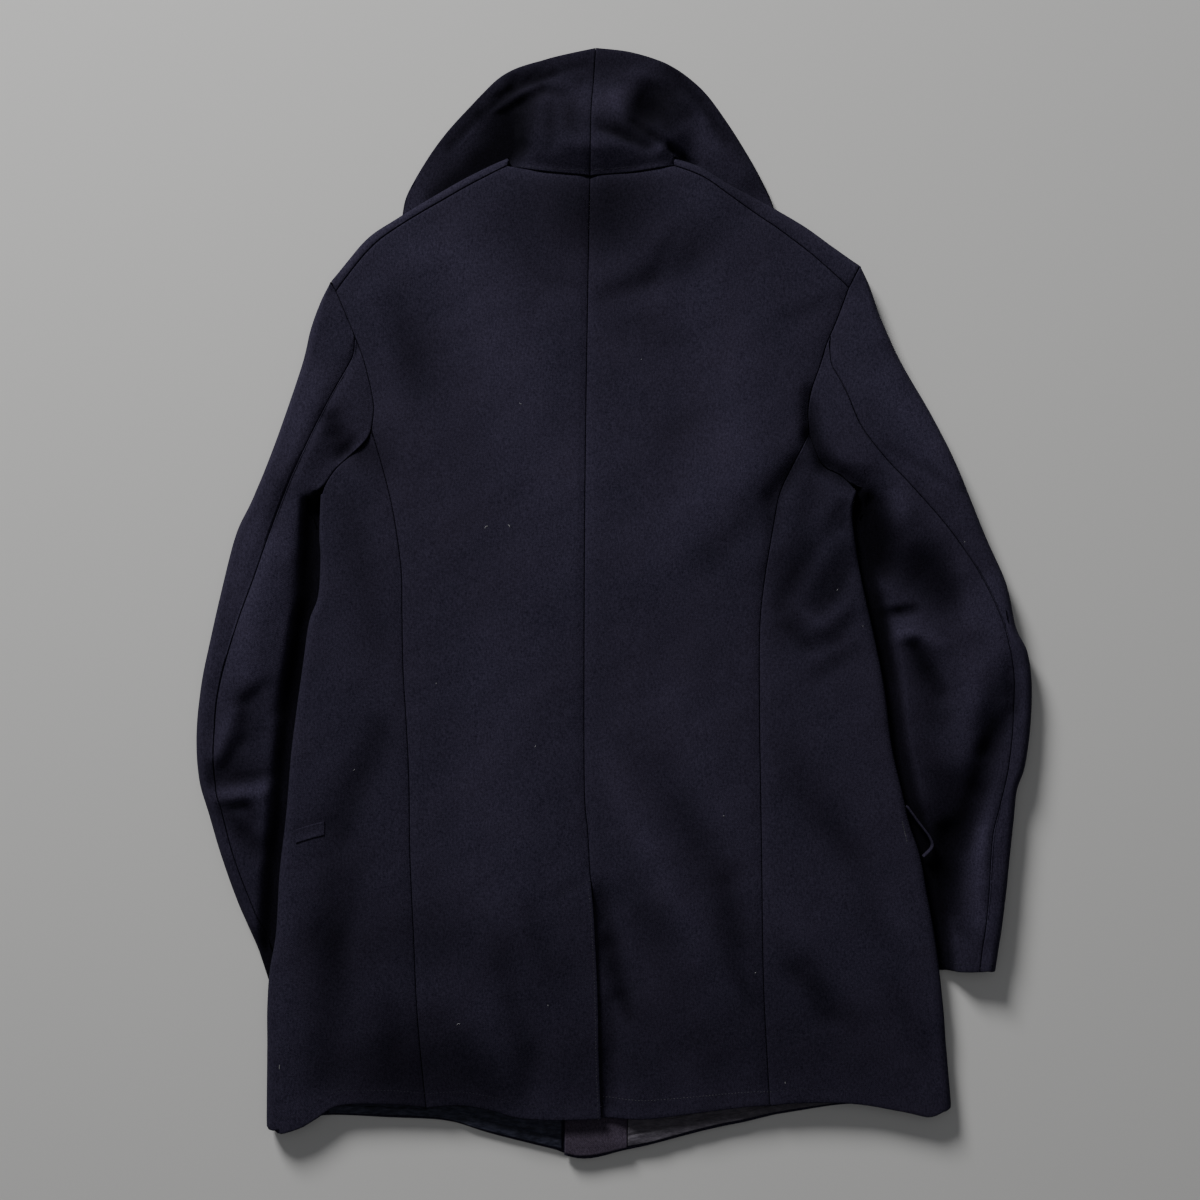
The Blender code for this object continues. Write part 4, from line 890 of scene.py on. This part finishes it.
def front_panel(half, lines, mat):
    """A front: flat under the back, round the side fold to the side-back seam, and over the
    shoulder fold to the shoulder seam."""
    floor = {"left": front_floor, "right": right_front_floor}[half]
    side, fold = lines["side"], lines["top_fold"]
    normals = inward(side, (MIDDLE_X, 0))
    normals[:, 1] -= HEM_TILT[half] * ease(1 - (side[:, 1] - side[0, 1]) / HEM_TILT_RUN)
    side_radii = np.interp(np.linspace(0, 1, len(side)), *SIDE_RADII)
    side_in = side + normals * side_radii[:, None]
    fold_normals = inward(fold, (MIDDLE_X, 0))
    fold_radii = np.interp(np.linspace(0, 1, len(fold)), *SHOULDER_RADII)
    fold_in = fold + fold_normals * fold_radii[:, None]
    armhole = bent(smooth(FRONT_ARMHOLE[half], FRONT_ARM_ROWS), side_in[-1], fold_in[-1])
    hem = smooth(FRONT_HEM[half][::-1], SHOULDER_STEPS + FRONT_EDGE_STEPS)
    hem = fitted(hem, end=side_in[0])
    edge_top = np.array((FRONT_EDGE_X[half], FRONT_EDGE_TOP))
    neckline = evenly([edge_top, fold_in[0]], FRONT_EDGE_STEPS)
    rows_up = BODY_ROWS + FRONT_ARM_ROWS
    edge = evenly([hem[0], edge_top], rows_up)
    lower = pull_in(panel(hem, chain(neckline, fold_in), edge, chain(side_in, armhole)))
    strip_hem = bent(smooth(SIDE_HEM[half], SIDE_STEPS), end=side_in[0], run=STRIP_BEND_RUN)
    strip_top = bent(smooth(UNDERARM[half], SIDE_STEPS), end=side_in[-1])
    upper = pull_in(panel(strip_hem, strip_top, lines["seam"], side_in))[:, ::-1]

    last = lower.shape[1]
    turn = len(FOLD_ANGLES)
    rows = rows_up + 1 + SHOULDER_ARC + SEAM_STEPS
    columns = last + turn + SIDE_STEPS + 1
    outer, inner = np.zeros((2, rows, columns, 3))
    present = np.zeros((rows, columns), bool)

    def put(j, i, pair):
        tall, wide = pair[0].shape[:2]
        outer[j:j + tall, i:i + wide] = pair[0]
        inner[j:j + tall, i:i + wide] = pair[1]
        present[j:j + tall, i:i + wide] = True

    put(0, 0, lay(lower, floor, down=True))
    put(0, last, fold_round(side, side_in, normals, side_radii, body_top, floor))
    put(0, last + turn, lay(upper, body_top))
    round_over = fold_round(fold, fold_in, fold_normals, fold_radii, body_top, floor,
                            FOLD_ANGLES[:SHOULDER_ARC])
    round_over = tuple(part.transpose(1, 0, 2) for part in round_over)
    put(rows_up + 1, FRONT_EDGE_STEPS, round_over)
    seam = lines["shoulder"] + unit(fold - lines["shoulder"]) * SEAM_GAP / 2
    ramp = (np.arange(1, SEAM_STEPS + 1) / SEAM_STEPS)[:, None, None]
    flat = round_over[0][-1, :, :2][None] * (1 - ramp) + seam[None] * ramp
    x, y = flat[..., 0], flat[..., 1]
    height = rounded_down(x, y, body_top(x, y), fold)
    put(rows_up + 1 + SHOULDER_ARC, FRONT_EDGE_STEPS, lay(flat, height))
    return cloth("front_" + half + "_cloth", (outer, inner), mat, body_painted_shade, present)


def sleeve_places():
    """Places along the sleeve, from nought at the cuff."""
    return np.append(np.arange(0, SLEEVE_LONG, SLEEVE_STEP), SLEEVE_LONG)


def sleeve_line(points, power=1.0):
    """A line along the sleeve from the cuff up; a power over one crowds it near the armpit."""
    fine = smooth(points, SLEEVE_FINE)
    share = (1 - sleeve_places() / SLEEVE_LONG) ** power
    return fine[np.round(SLEEVE_FINE * share).astype(int)]


def sleeve(half, lines, mat):
    """The top sleeve and the under sleeve of one arm, a flattened tube."""
    out_edge = sleeve_line(SLEEVE_OUT[half])
    in_edge = sleeve_line(SLEEVE_IN[half], ARMPIT_FAN)
    hind = sleeve_line(HIND[half])
    pulls = np.clip((sleeve_places() - CAP_FROM) / (SLEEVE_LONG - CAP_FROM), 0, 1)
    radii = np.interp(sleeve_places(), *SLEEVE_RADII)
    outwards = -1 if half == "left" else 1
    out_normals = inward(out_edge, (0, 0))
    in_normals = inward(in_edge, (outwards * FAR_OUT, 0))
    out_in = out_edge + out_normals * radii[:, None]
    in_in = in_edge + in_normals * radii[:, None]
    arm = chain(lines["armhole"][::-1], lines["underarm"])
    tip, inner_tip = np.array(SLEEVE_TIP[half])
    out_edge = bent(out_edge, end=tip)
    out_in = bent(out_in, end=inner_tip)
    hind = bent(hind, end=arm[HIND_ROWS])
    arm_a = evenly(np.vstack([[inner_tip], arm[:HIND_ROWS + 1]]), HIND_ROWS + TIP_STEPS)
    arm_b = bent(arm[HIND_ROWS:], end=in_in[-1])
    cuff_a = evenly([out_in[0], hind[0]], len(arm_a) - 1)
    cuff_b = evenly([hind[0], in_in[0]], len(arm_b) - 1)
    upper_a = pull_in(panel(cuff_a, arm_a, out_in, hind, pulls))
    upper_b = pull_in(panel(cuff_b, arm_b, hind, in_in, pulls))
    ledge = -outwards * np.interp(in_edge[:, 1], *LEDGE[half])
    ledge = np.column_stack([ledge, np.zeros(len(ledge))])
    in_low = in_in + ledge
    front_arm = smooth(FRONT_ARMHOLE[half], FRONT_ARM_ROWS)[::-1]
    front_arm = bent(front_arm, out_in[-1], in_low[-1])
    cuff = evenly([out_in[0], in_low[0]], FRONT_ARM_ROWS)
    lower = panel(cuff, front_arm, out_in, in_low, pulls)
    split = FRONT_ARM_ROWS // 2
    lower_a, lower_b = pull_in(lower[:, :split + 1]), pull_in(lower[:, split:])

    out_fold = fold_round(out_edge, out_in, out_normals, radii, sleeve_top, on_floor)
    in_fold = fold_round(in_edge, in_in, in_normals, radii, sleeve_top, on_floor)
    reach = ease(0.5 - 0.5 * np.sin(FOLD_ANGLES) * LEDGE_TURN)
    for part in in_fold:
        part[..., :2] += ledge[:, None, :] * reach[None, :, None]
    in_fold = tuple(part[:, ::-1] for part in in_fold)
    top = join_across(lay(lower_a[:, ::-1], 0.0, down=True), out_fold, lay(upper_a, sleeve_top))
    under = join_across(lay(upper_b, sleeve_top), in_fold, lay(lower_b[:, ::-1], 0.0, down=True))
    return [cloth("top_sleeve_" + half + "_cloth", top, mat, sleeve_painted_shade),
            cloth("under_sleeve_" + half + "_cloth", under, mat, sleeve_painted_shade)]


def on_floor(x, y):
    return np.zeros_like(x)


def collar_rows(half, neck):
    """One half of the collar: rows from the neck seam out, columns from the centre round."""
    end_line = COLLAR_INNER[half]
    inner = chain(evenly(np.vstack([neck[:-1], end_line[:1]]), NECK_STEPS),
                  evenly(end_line, COLLAR_END_STEPS))
    outline = COLLAR_EDGE[half]
    whole = smooth(outline, COLLAR_FINE)
    cut = np.argmin(np.hypot(*(whole - outline[1]).T))
    edge = chain(evenly(whole[:cut + 1], NECK_STEPS), evenly(whole[cut:], COLLAR_END_STEPS))
    centre = smooth(COLLAR_CENTRE, COLLAR_ROWS)
    edge = fitted(edge, start=centre[-1])
    return panel(inner, edge, centre, evenly([inner[-1], edge[-1]], COLLAR_ROWS))


def collar(necks, mat):
    """Two halves of the under collar on top, and the top collar in one piece beneath."""
    halves = {half: pull_in(collar_rows(half, necks[half])) for half in HALVES}
    pieces = [cloth("under_collar_" + half + "_cloth", lay(rows, collar_top), mat, collar_painted_shade)
              for half, rows in halves.items()]
    rows = np.concatenate([halves["left"][:, :0:-1], halves["right"]], axis=1)
    height = np.maximum(over(collar_top, rows) - COLLAR_FLAT, 0.0)
    beneath = lay(rows, height, down=True)
    return pieces + [cloth("top_collar_cloth", beneath, mat, collar_painted_shade)]


def strip(name, lines, floor, wall, columns, rows, mat):
    """A thin strip between two lines, laid on what carries it."""
    bottom, top = (smooth(line, columns) for line in lines)
    ramp = np.linspace(0, 1, rows + 1)[:, None, None]
    grid = bottom[None] * (1 - ramp) + top[None] * ramp
    return cloth(name, lay(grid, floor, wall, down=True), mat, no_painted_shade)


def inside_strips(facing, linings):
    """The facing and the two linings, where they show under the back's hem."""
    def creased(x, y, edge):
        """Wrinkles, and the grooves along the lining's hem."""
        up = y - y_at(edge, x)
        long = np.sin(y / 2.6 + 0.8 * np.sin(x / 17) + x / 60) * (0.5 + 0.5 * np.sin(x / 23 + 1))
        short = np.sin(x / 4.1 + 1.3 * np.sin(y / 3.1)) * (0.6 + 0.4 * np.sin(x / 31))
        groove = np.exp(-((up - 8.5 - 1.2 * np.sin(x / 26)) / 1.0) ** 2)
        second = np.exp(-((up - 15.5 - 1.5 * np.sin(x / 33 + 1)) / 0.9) ** 2)
        return 1.3 + 0.3 * long + 0.2 * short - 1.5 * groove - 1.2 * second

    def left_floor(x, y):
        return front_floor(x, y) + WALL + LINING_GAP + creased(x, y, LINING_LINES["left"][0])

    def right_floor(x, y):
        crease = creased(x, y, LINING_LINES["right"][0])
        return right_front_floor(x, y) + WALL + LINING_GAP + crease

    def facing_floor(x, y):
        sag = 1.2 * ease((y + 476) / 10)
        return right_front_floor(x, y) + WALL + ON_CLOTH + 1.3 - sag + 0.4 * np.sin(x / 9 + y / 7)

    floors = {"left": left_floor, "right": right_floor}
    pieces = [strip("lining_" + half + "_cloth", LINING_LINES[half], floors[half], LINING,
                    LINING_COLUMNS, LINING_ROWS, linings[half]) for half in HALVES]
    return pieces + [strip("facing_right_cloth", FACING_LINES, facing_floor, FACING_WALL,
                           FACING_COLUMNS, FACING_ROWS, facing)]


def welts(mat):
    """The ends of the two pocket welts that show at the sides."""
    def on_side(x, y):
        return body_top(x, y) + WELT_GAP

    flat = strip("pocket_welt_left_cloth", LEFT_WELT, on_side, WELT_WALL["left"],
                 *LEFT_WELT_STEPS, mat)
    along, up = RIGHT_WELT_STEPS
    path = smooth(RIGHT_WELT, along)
    levels = np.linspace(*WELT_HEIGHTS, up)
    outer = np.dstack([np.repeat(path[:, None, :], up, axis=1),
                       np.repeat(levels[None], len(path), axis=0)])
    inner = outer.copy()
    inner[..., :2] += (inward(path, (200, -200)) * WELT_WALL["right"])[:, None, :]
    return [flat, cloth("pocket_welt_right_cloth", (outer, inner), mat, no_painted_shade)]


# ------------------------------------------------------------------ finishes

def finish_group(name, colours, numbers=()):
    """A new group for a finish that puts out colour, height and roughness. It comes with what it
    is given, and with the coat's own coordinates."""
    group = bpy.data.node_groups.new(name, "ShaderNodeTree")
    sockets = [(label, "INPUT", "NodeSocketColor") for label in colours]
    sockets += [(label, "INPUT", "NodeSocketFloat") for label in numbers]
    sockets += [("Color", "OUTPUT", "NodeSocketColor"), ("Height", "OUTPUT", "NodeSocketFloat"),
                ("Roughness", "OUTPUT", "NodeSocketFloat")]
    for label, way, kind in sockets:
        group.interface.new_socket(name=label, in_out=way, socket_type=kind)
    given = group.nodes.new("NodeGroupInput").outputs
    return group, given, group.nodes.new("ShaderNodeTexCoord").outputs["Object"]


def put_out(group, colour, height, rough):
    """Ends a finish group."""
    result = group.nodes.new("NodeGroupOutput")
    for label, value in (("Color", colour), ("Height", height), ("Roughness", rough)):
        group.links.new(value, result.inputs[label])
    return group


def maths(group, kind, a, b, clamp=False):
    """One sum on values that change over the surface."""
    node = group.nodes.new("ShaderNodeMath")
    node.operation = kind
    node.use_clamp = clamp
    for socket, value in zip(node.inputs, (a, b)):
        if isinstance(value, (int, float)):
            socket.default_value = value
        else:
            group.links.new(value, socket)
    return node.outputs[0]


def weighed(group, *parts):
    """Values added up, each times its share."""
    total = None
    for value, share in parts:
        scaled = maths(group, "MULTIPLY", value, share)
        total = scaled if total is None else maths(group, "ADD", total, scaled)
    return total


def stronger(group, value, low, gain):
    """A value less its low end, made stronger, between nought and one."""
    return maths(group, "MULTIPLY", maths(group, "SUBTRACT", value, low), gain, clamp=True)


def grain(group, coords, scale, detail, stretch=(1, 1, 1), rough=0.55, turn=0.0):
    """A noise on the coat's own coordinates, stretched along the cloth."""
    mapping = group.nodes.new("ShaderNodeMapping")
    mapping.inputs["Scale"].default_value = stretch
    mapping.inputs["Rotation"].default_value = (0, 0, turn)
    noise = group.nodes.new("ShaderNodeTexNoise")
    noise.inputs["Scale"].default_value = scale
    noise.inputs["Detail"].default_value = detail
    noise.inputs["Roughness"].default_value = rough
    group.links.new(coords, mapping.inputs["Vector"])
    group.links.new(mapping.outputs[0], noise.inputs["Vector"])
    return noise.outputs["Fac"]


def blend_colour(group, factor, a, b):
    """From colour a to colour b."""
    node = group.nodes.new("ShaderNodeMix")
    node.data_type = "RGBA"
    for label, value in (("Factor", factor), (6, a), (7, b)):
        group.links.new(value, node.inputs[label])
    return node.outputs[2]


def nap_group():
    """Napped wool: speckled fibre colour, slow random colour changes, painted shade and painted
    light from the points' attribute, and the height of nap and twill.
    """
    group, given, coords = finish_group("wool_nap", ("Ground", "Fibre", "Worn"), ("Speckle",))
    fine = grain(group, coords, 620, 3, rough=0.75)
    fibre = grain(group, coords, 850, 2, stretch=(1, 0.35, 1), turn=0.7)
    blotch = grain(group, coords, 22, 4, rough=0.6)
    broad = grain(group, coords, 5.5, 2)
    twill = group.nodes.new("ShaderNodeTexWave")
    twill.bands_direction = "DIAGONAL"
    for label, value in {"Scale": 330, "Distortion": 3, "Detail": 2, "Detail Scale": 2}.items():
        twill.inputs[label].default_value = value
    group.links.new(coords, twill.inputs["Vector"])
    speck = stronger(group, weighed(group, (fine, 1.0), (fibre, 0.6)), 0.52, 2.1)
    speck = maths(group, "MULTIPLY", speck, given["Speckle"], clamp=True)
    slow = stronger(group, weighed(group, (blotch, 0.9), (broad, 0.9)), 0.72, 2.2)
    colour = blend_colour(group, slow, given["Ground"], given["Worn"])
    colour = blend_colour(group, speck, colour, given["Fibre"])
    # Painted shade and light: the colour is scaled down in folds and shaded parts and up on ridges
    # and lit parts.
    painted_shade_share = group.nodes.new("ShaderNodeAttribute")
    painted_shade_share.attribute_name = "painted_shade_share"
    shade = maths(group, "ADD", 0.12, maths(group, "MULTIPLY", painted_shade_share.outputs["Fac"], 1.76))
    shaded = group.nodes.new("ShaderNodeVectorMath")
    shaded.operation = "SCALE"
    group.links.new(colour, shaded.inputs[0])
    group.links.new(maths(group, "MINIMUM", shade, 1.35), shaded.inputs["Scale"])
    height = weighed(group, (fine, 0.6), (fibre, 0.3), (twill.outputs["Fac"], 0.14))
    rough = maths(group, "ADD", 0.84, maths(group, "MULTIPLY", fine, 0.18), clamp=True)
    return put_out(group, shaded.outputs[0], height, rough)


def satin_group():
    """Worn lining satin: fine cross threads and rubbed, dusty ridges."""
    group, given, coords = finish_group("lining_satin", ("Ground", "Rubbed"), ("Rub",))
    threads = grain(group, coords, 1500, 1, stretch=(0.25, 1, 1))
    cross = grain(group, coords, 1500, 1, stretch=(1, 0.25, 1))
    rubbed = grain(group, coords, 150, 4, stretch=(0.7, 2.0, 1), rough=0.7)
    crumple = grain(group, coords, 300, 3, stretch=(0.6, 1.5, 1))
    weave = weighed(group, (threads, 0.5), (cross, 0.5))
    worn = maths(group, "MULTIPLY", stronger(group, rubbed, 0.42, 2.4), given["Rub"], clamp=True)
    worn = maths(group, "MULTIPLY", worn, maths(group, "ADD", 0.45, weave), clamp=True)
    colour = blend_colour(group, worn, given["Ground"], given["Rubbed"])
    height = weighed(group, (weave, 0.25), (crumple, 1.6))
    rough = maths(group, "ADD", 0.48, maths(group, "MULTIPLY", rubbed, 0.25), clamp=True)
    return put_out(group, colour, height, rough)


def plastic_group():
    """Dull moulded plastic with fine scuffs."""
    group, given, coords = finish_group("button_plastic", ("Ground", "Scuff"))
    scuff = grain(group, coords, 300, 4, stretch=(1, 0.3, 1), turn=0.7)
    marks = stronger(group, scuff, 0.55, 3.0)
    colour = blend_colour(group, marks, given["Ground"], given["Scuff"])
    rough = maths(group, "ADD", 0.3, maths(group, "MULTIPLY", marks, 0.3))
    return put_out(group, colour, scuff, rough)


def finish_from(name, group, values, bump, **sockets):
    """A material whose colour, roughness and bump come from a finish group."""
    mat = bpy.data.materials.new(name)
    mat.use_nodes = True
    nodes, links = mat.node_tree.nodes, mat.node_tree.links
    shader = nodes["Principled BSDF"]
    made = nodes.new("ShaderNodeGroup")
    made.node_tree = group
    for label, value in values.items():
        made.inputs[label].default_value = value if isinstance(value, float) else (*value, 1)
    relief = nodes.new("ShaderNodeBump")
    relief.inputs["Strength"].default_value, relief.inputs["Distance"].default_value = bump
    links.new(made.outputs["Height"], relief.inputs["Height"])
    links.new(relief.outputs[0], shader.inputs["Normal"])
    links.new(made.outputs["Color"], shader.inputs["Base Color"])
    links.new(made.outputs["Roughness"], shader.inputs["Roughness"])
    for label, value in sockets.items():
        shader.inputs[label.replace("_", " ")].default_value = value
    return mat


def wool(name, ground, fibre, worn):
    """Melton, with hardly any gloss."""
    colours = {"Ground": ground, "Fibre": fibre, "Worn": worn, "Speckle": 0.7}
    return finish_from(name, nap, colours, (0.6, 0.0009), IOR=1.45, Specular_IOR_Level=0.05,
                       Sheen_Weight=0.02, Sheen_Roughness=0.5, Sheen_Tint=(0.55, 0.56, 0.75, 1))


def lining_cloth(name, ground, rubbed, rub, gloss, sheen):
    colours = {"Ground": ground, "Rubbed": rubbed, "Rub": rub}
    return finish_from(name, satin, colours, (0.6, 0.0008), Specular_IOR_Level=gloss,
                       Sheen_Weight=sheen, Sheen_Roughness=0.5)


def thread(name, ground, rubbed, rub, gloss):
    colours = {"Ground": ground, "Rubbed": rubbed, "Rub": rub}
    return finish_from(name, satin, colours, (0.3, 0.0002), Specular_IOR_Level=gloss)


# ------------------------------------------------------------------ stitches, tacks and lint

def one_stitch(length, thick):
    """The shape of one sewn stitch: a low pinched bead."""
    bpy.ops.object.select_all(action="DESELECT")
    bpy.ops.mesh.primitive_uv_sphere_add(segments=8, ring_count=6, radius=1.0,
                                         rotation=(0, math.pi / 2, 0))
    bead = bpy.context.object
    bpy.ops.object.transform_apply(rotation=True)
    points = np.zeros(len(bead.data.vertices) * 3)
    bead.data.vertices.foreach_get("co", points)
    points = points.reshape(-1, 3) * (length / 2, thick / 2, thick / 2)
    faces = [list(face.vertices) for face in bead.data.polygons]
    bpy.data.objects.remove(bead)
    return points, faces


def sewn(name, runs, mat):
    """One piece of many stitches; each run is a line, the height that it lies on, and its
    stitches' length, pitch, thickness and depth in the nap."""
    points, faces, total = [], [], 0
    for line, height, length, pitch, thick, sink in runs:
        bead, bead_faces = one_stitch(length, thick)
        line = np.asarray(line, float)
        middles = evenly(line, max(int(lengths_along(line)[-1] / pitch), 1))
        ahead = unit(np.gradient(middles, axis=0))
        levels = over(height, middles) - sink
        behind, before = middles - ahead * length / 2, middles + ahead * length / 2
        slope = (over(height, before) - over(height, behind)) / length
        for k, (p, u, level, rise) in enumerate(zip(middles, ahead, levels, slope)):
            across = bead[:, 1] + SWAY * math.sin(2.3 * k + 0.7 * math.sin(k))
            points.append(np.column_stack([p[0] + bead[:, 0] * u[0] - across * u[1],
                                           p[1] + bead[:, 0] * u[1] + across * u[0],
                                           level + bead[:, 2] + bead[:, 0] * rise]))
            faces += [[v + total for v in face] for face in bead_faces]
            total += len(bead)
    return new_piece(name, np.vstack(points), faces, mat)


def shifted(line, distance, towards):
    """A line beside a curve, on the side of the given place."""
    curve = smooth(line, STITCH_LINE_STEPS)
    return curve + inward(curve, towards) * distance


def tack(name, line, length, thick, mat):
    """A bar tack: close stitches end to end."""
    return sewn(name, ((line, body_top, length, length * 0.75, thick, 0.1),), mat)


def stitched(dark, faded, pale):
    """The rows of stitches and the tacks, each in its own thread."""
    left_hem = chain(shifted(SIDE_HEM["left"][::-1], HEM_STITCH_IN, (-200, 0))[4:],
                     shifted(HEM["left"][::-1], HEM_STITCH_IN, (-80, 0))[1:])
    right_side = shifted(SIDE_HEM["right"], HEM_STITCH_IN, (200, 0))[:-4]
    right_hem = shifted(HEM["right"], HEM_STITCH_IN, (60, 0))
    vent = shifted(VENT_EDGE, VENT_STITCH_IN, (-200, -340))[4:]
    neck = smooth(NECK_STITCH_LINE, STITCH_LINE_STEPS)
    right_cuff = smooth(CUFF_STITCH_LINE["right"], STITCH_LINE_STEPS)
    left_cuff = smooth(CUFF_STITCH_LINE["left"], 8)
    return [
        sewn("hem_stitches", ((left_hem, body_top, *STITCHES["hem"]),
                              (right_side, body_top, *STITCHES["hem"])), dark),
        sewn("vent_stitches", ((right_hem, right_back_top, *STITCHES["hem beside vent"]),
                               (vent, body_top, *STITCHES["vent"])), faded),
        sewn("vent_tack", ((VENT_TACK[:3], body_top, *STITCHES["slanting tack"]),
                           (VENT_TACK[2:], body_top, *STITCHES["upright tack"])), dark),
        sewn("neck_stitches", ((neck, collar_top, *STITCHES["neck"]),), dark),
        sewn("cuff_stitches", ((right_cuff, sleeve_top, *STITCHES["cuff"]),
                               (left_cuff, sleeve_top, *STITCHES["cuff"])), dark),
        tack("pocket_tack_right", POCKET_TACK["right"], 2.6, 0.7, faded),
        tack("pocket_tack_left", POCKET_TACK["left"], 1.8, 0.9, pale),
    ]


def lint(mat):
    """Stray pale fibres and specks that cling to the nap."""
    runs = []
    for x, y, length, turn, bow in LINT:
        u = np.array((math.cos(turn), math.sin(turn))) * length / 2
        middle = np.array((x, y))
        bowed = smooth((middle - u, middle + np.array((-u[1], u[0])) * bow, middle + u), 6)
        top = sleeve_top if abs(x) > BODY_REACH else body_top
        runs.append((bowed, top, length / 2.6, length / 4, 0.45, -0.12))
    return sewn("lint", runs, mat)


# ------------------------------------------------------------------ the coat

nap = nap_group()
satin = satin_group()
melton = wool("navy_melton", (0.0092, 0.0084, 0.0168), (0.043, 0.0378, 0.064),
              (0.0145, 0.0118, 0.0215))
# The facing's own rubbed, browner wool, made lighter as painted light against the shade under the
# back's hem.
lightened_facing_wool = wool("rubbed_lightened_facing", (0.0225, 0.0170, 0.0275), (0.088, 0.071, 0.102),
                   (0.035, 0.026, 0.036))
linings = {
    "left": lining_cloth("rubbed_lining", (0.010, 0.0115, 0.024), (0.075, 0.078, 0.125), 0.85,
                         gloss=0.25, sheen=0.04),
    "right": lining_cloth("greyed_lining", (0.050, 0.044, 0.058), (0.145, 0.13, 0.156), 0.9,
                          gloss=0.3, sheen=0.05),
}
dark_thread = thread("navy_thread", (0.012, 0.012, 0.02), (0.045, 0.045, 0.06), 0.7, gloss=0.2)
faded_thread = thread("faded_thread", (0.05, 0.05, 0.058), (0.16, 0.155, 0.165), 0.8, gloss=0.2)
pale_thread = thread("pale_thread", (0.30, 0.30, 0.31), (0.55, 0.55, 0.55), 0.8, gloss=0.3)
plastic = finish_from("moulded_button", plastic_group(),
                      {"Ground": (0.01, 0.01, 0.012), "Scuff": (0.05, 0.05, 0.055)}, (0.2, 0.0002))

cloths = []
necks = {}
for half in HALVES:
    lines = half_lines(half)
    necks[half] = lines["neck"]
    cloths.append(back_panel(half, lines, melton))
    cloths.append(front_panel(half, lines, melton))
    cloths += sleeve(half, lines, melton)
cloths += collar(necks, melton)
cloths += inside_strips(lightened_facing_wool, linings)
cloths += welts(melton)

for piece in cloths:
    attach(piece, "root")
    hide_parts(piece.name.replace("_cloth", ""))

for piece in stitched(dark_thread, faded_thread, pale_thread) + [lint(pale_thread)]:
    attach(piece, "root")

for name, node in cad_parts.items():
    if name.startswith("button"):
        for slot in node.material_slots:
            slot.material = plastic


# ------------------------------------------------------------------ floor, light and camera

bpy.ops.object.select_all(action="DESELECT")
bpy.ops.mesh.primitive_plane_add(size=8.0, location=(0, 0, -FLOOR_DROP * MM))
floor = bpy.context.object
floor.name = "floor"
floor_mat = bpy.data.materials.new("pale_floor")
floor_mat.use_nodes = True
floor_shader = floor_mat.node_tree.nodes["Principled BSDF"]
floor_shader.inputs["Base Color"].default_value = (0.62, 0.615, 0.60, 1)
floor_shader.inputs["Roughness"].default_value = 0.85
floor.data.materials.append(floor_mat)


def soft_light(name, spot, size, power):
    """A round area light that looks at the coat's middle."""
    light = bpy.data.lights.new(name, "AREA")
    light.shape = "DISK"
    light.size = size
    light.energy = power
    lamp = bpy.data.objects.new(name, light)
    bpy.context.scene.collection.objects.link(lamp)
    lamp.location = spot
    lamp.rotation_euler = (-Vector(spot)).to_track_quat("-Z", "Y").to_euler()


soft_light("window", (-1.5, 2.9, 1.7), 1.1, 150)
soft_light("ceiling", (0.1, 0.1, 2.4), 2.6, 6)

world = bpy.data.worlds.new("studio")
world.use_nodes = True
background = world.node_tree.nodes["Background"]
background.inputs["Color"].default_value = (0.9, 0.93, 1.0, 1)
background.inputs["Strength"].default_value = 0.075
bpy.context.scene.world = world

camera = bpy.data.cameras.new("camera")
camera.lens = 50
camera.sensor_width = 36
stand = bpy.data.objects.new("camera", camera)
bpy.context.scene.collection.objects.link(stand)
stand.location = (-0.0125, 0.0011, 1.478)
bpy.context.scene.camera = stand
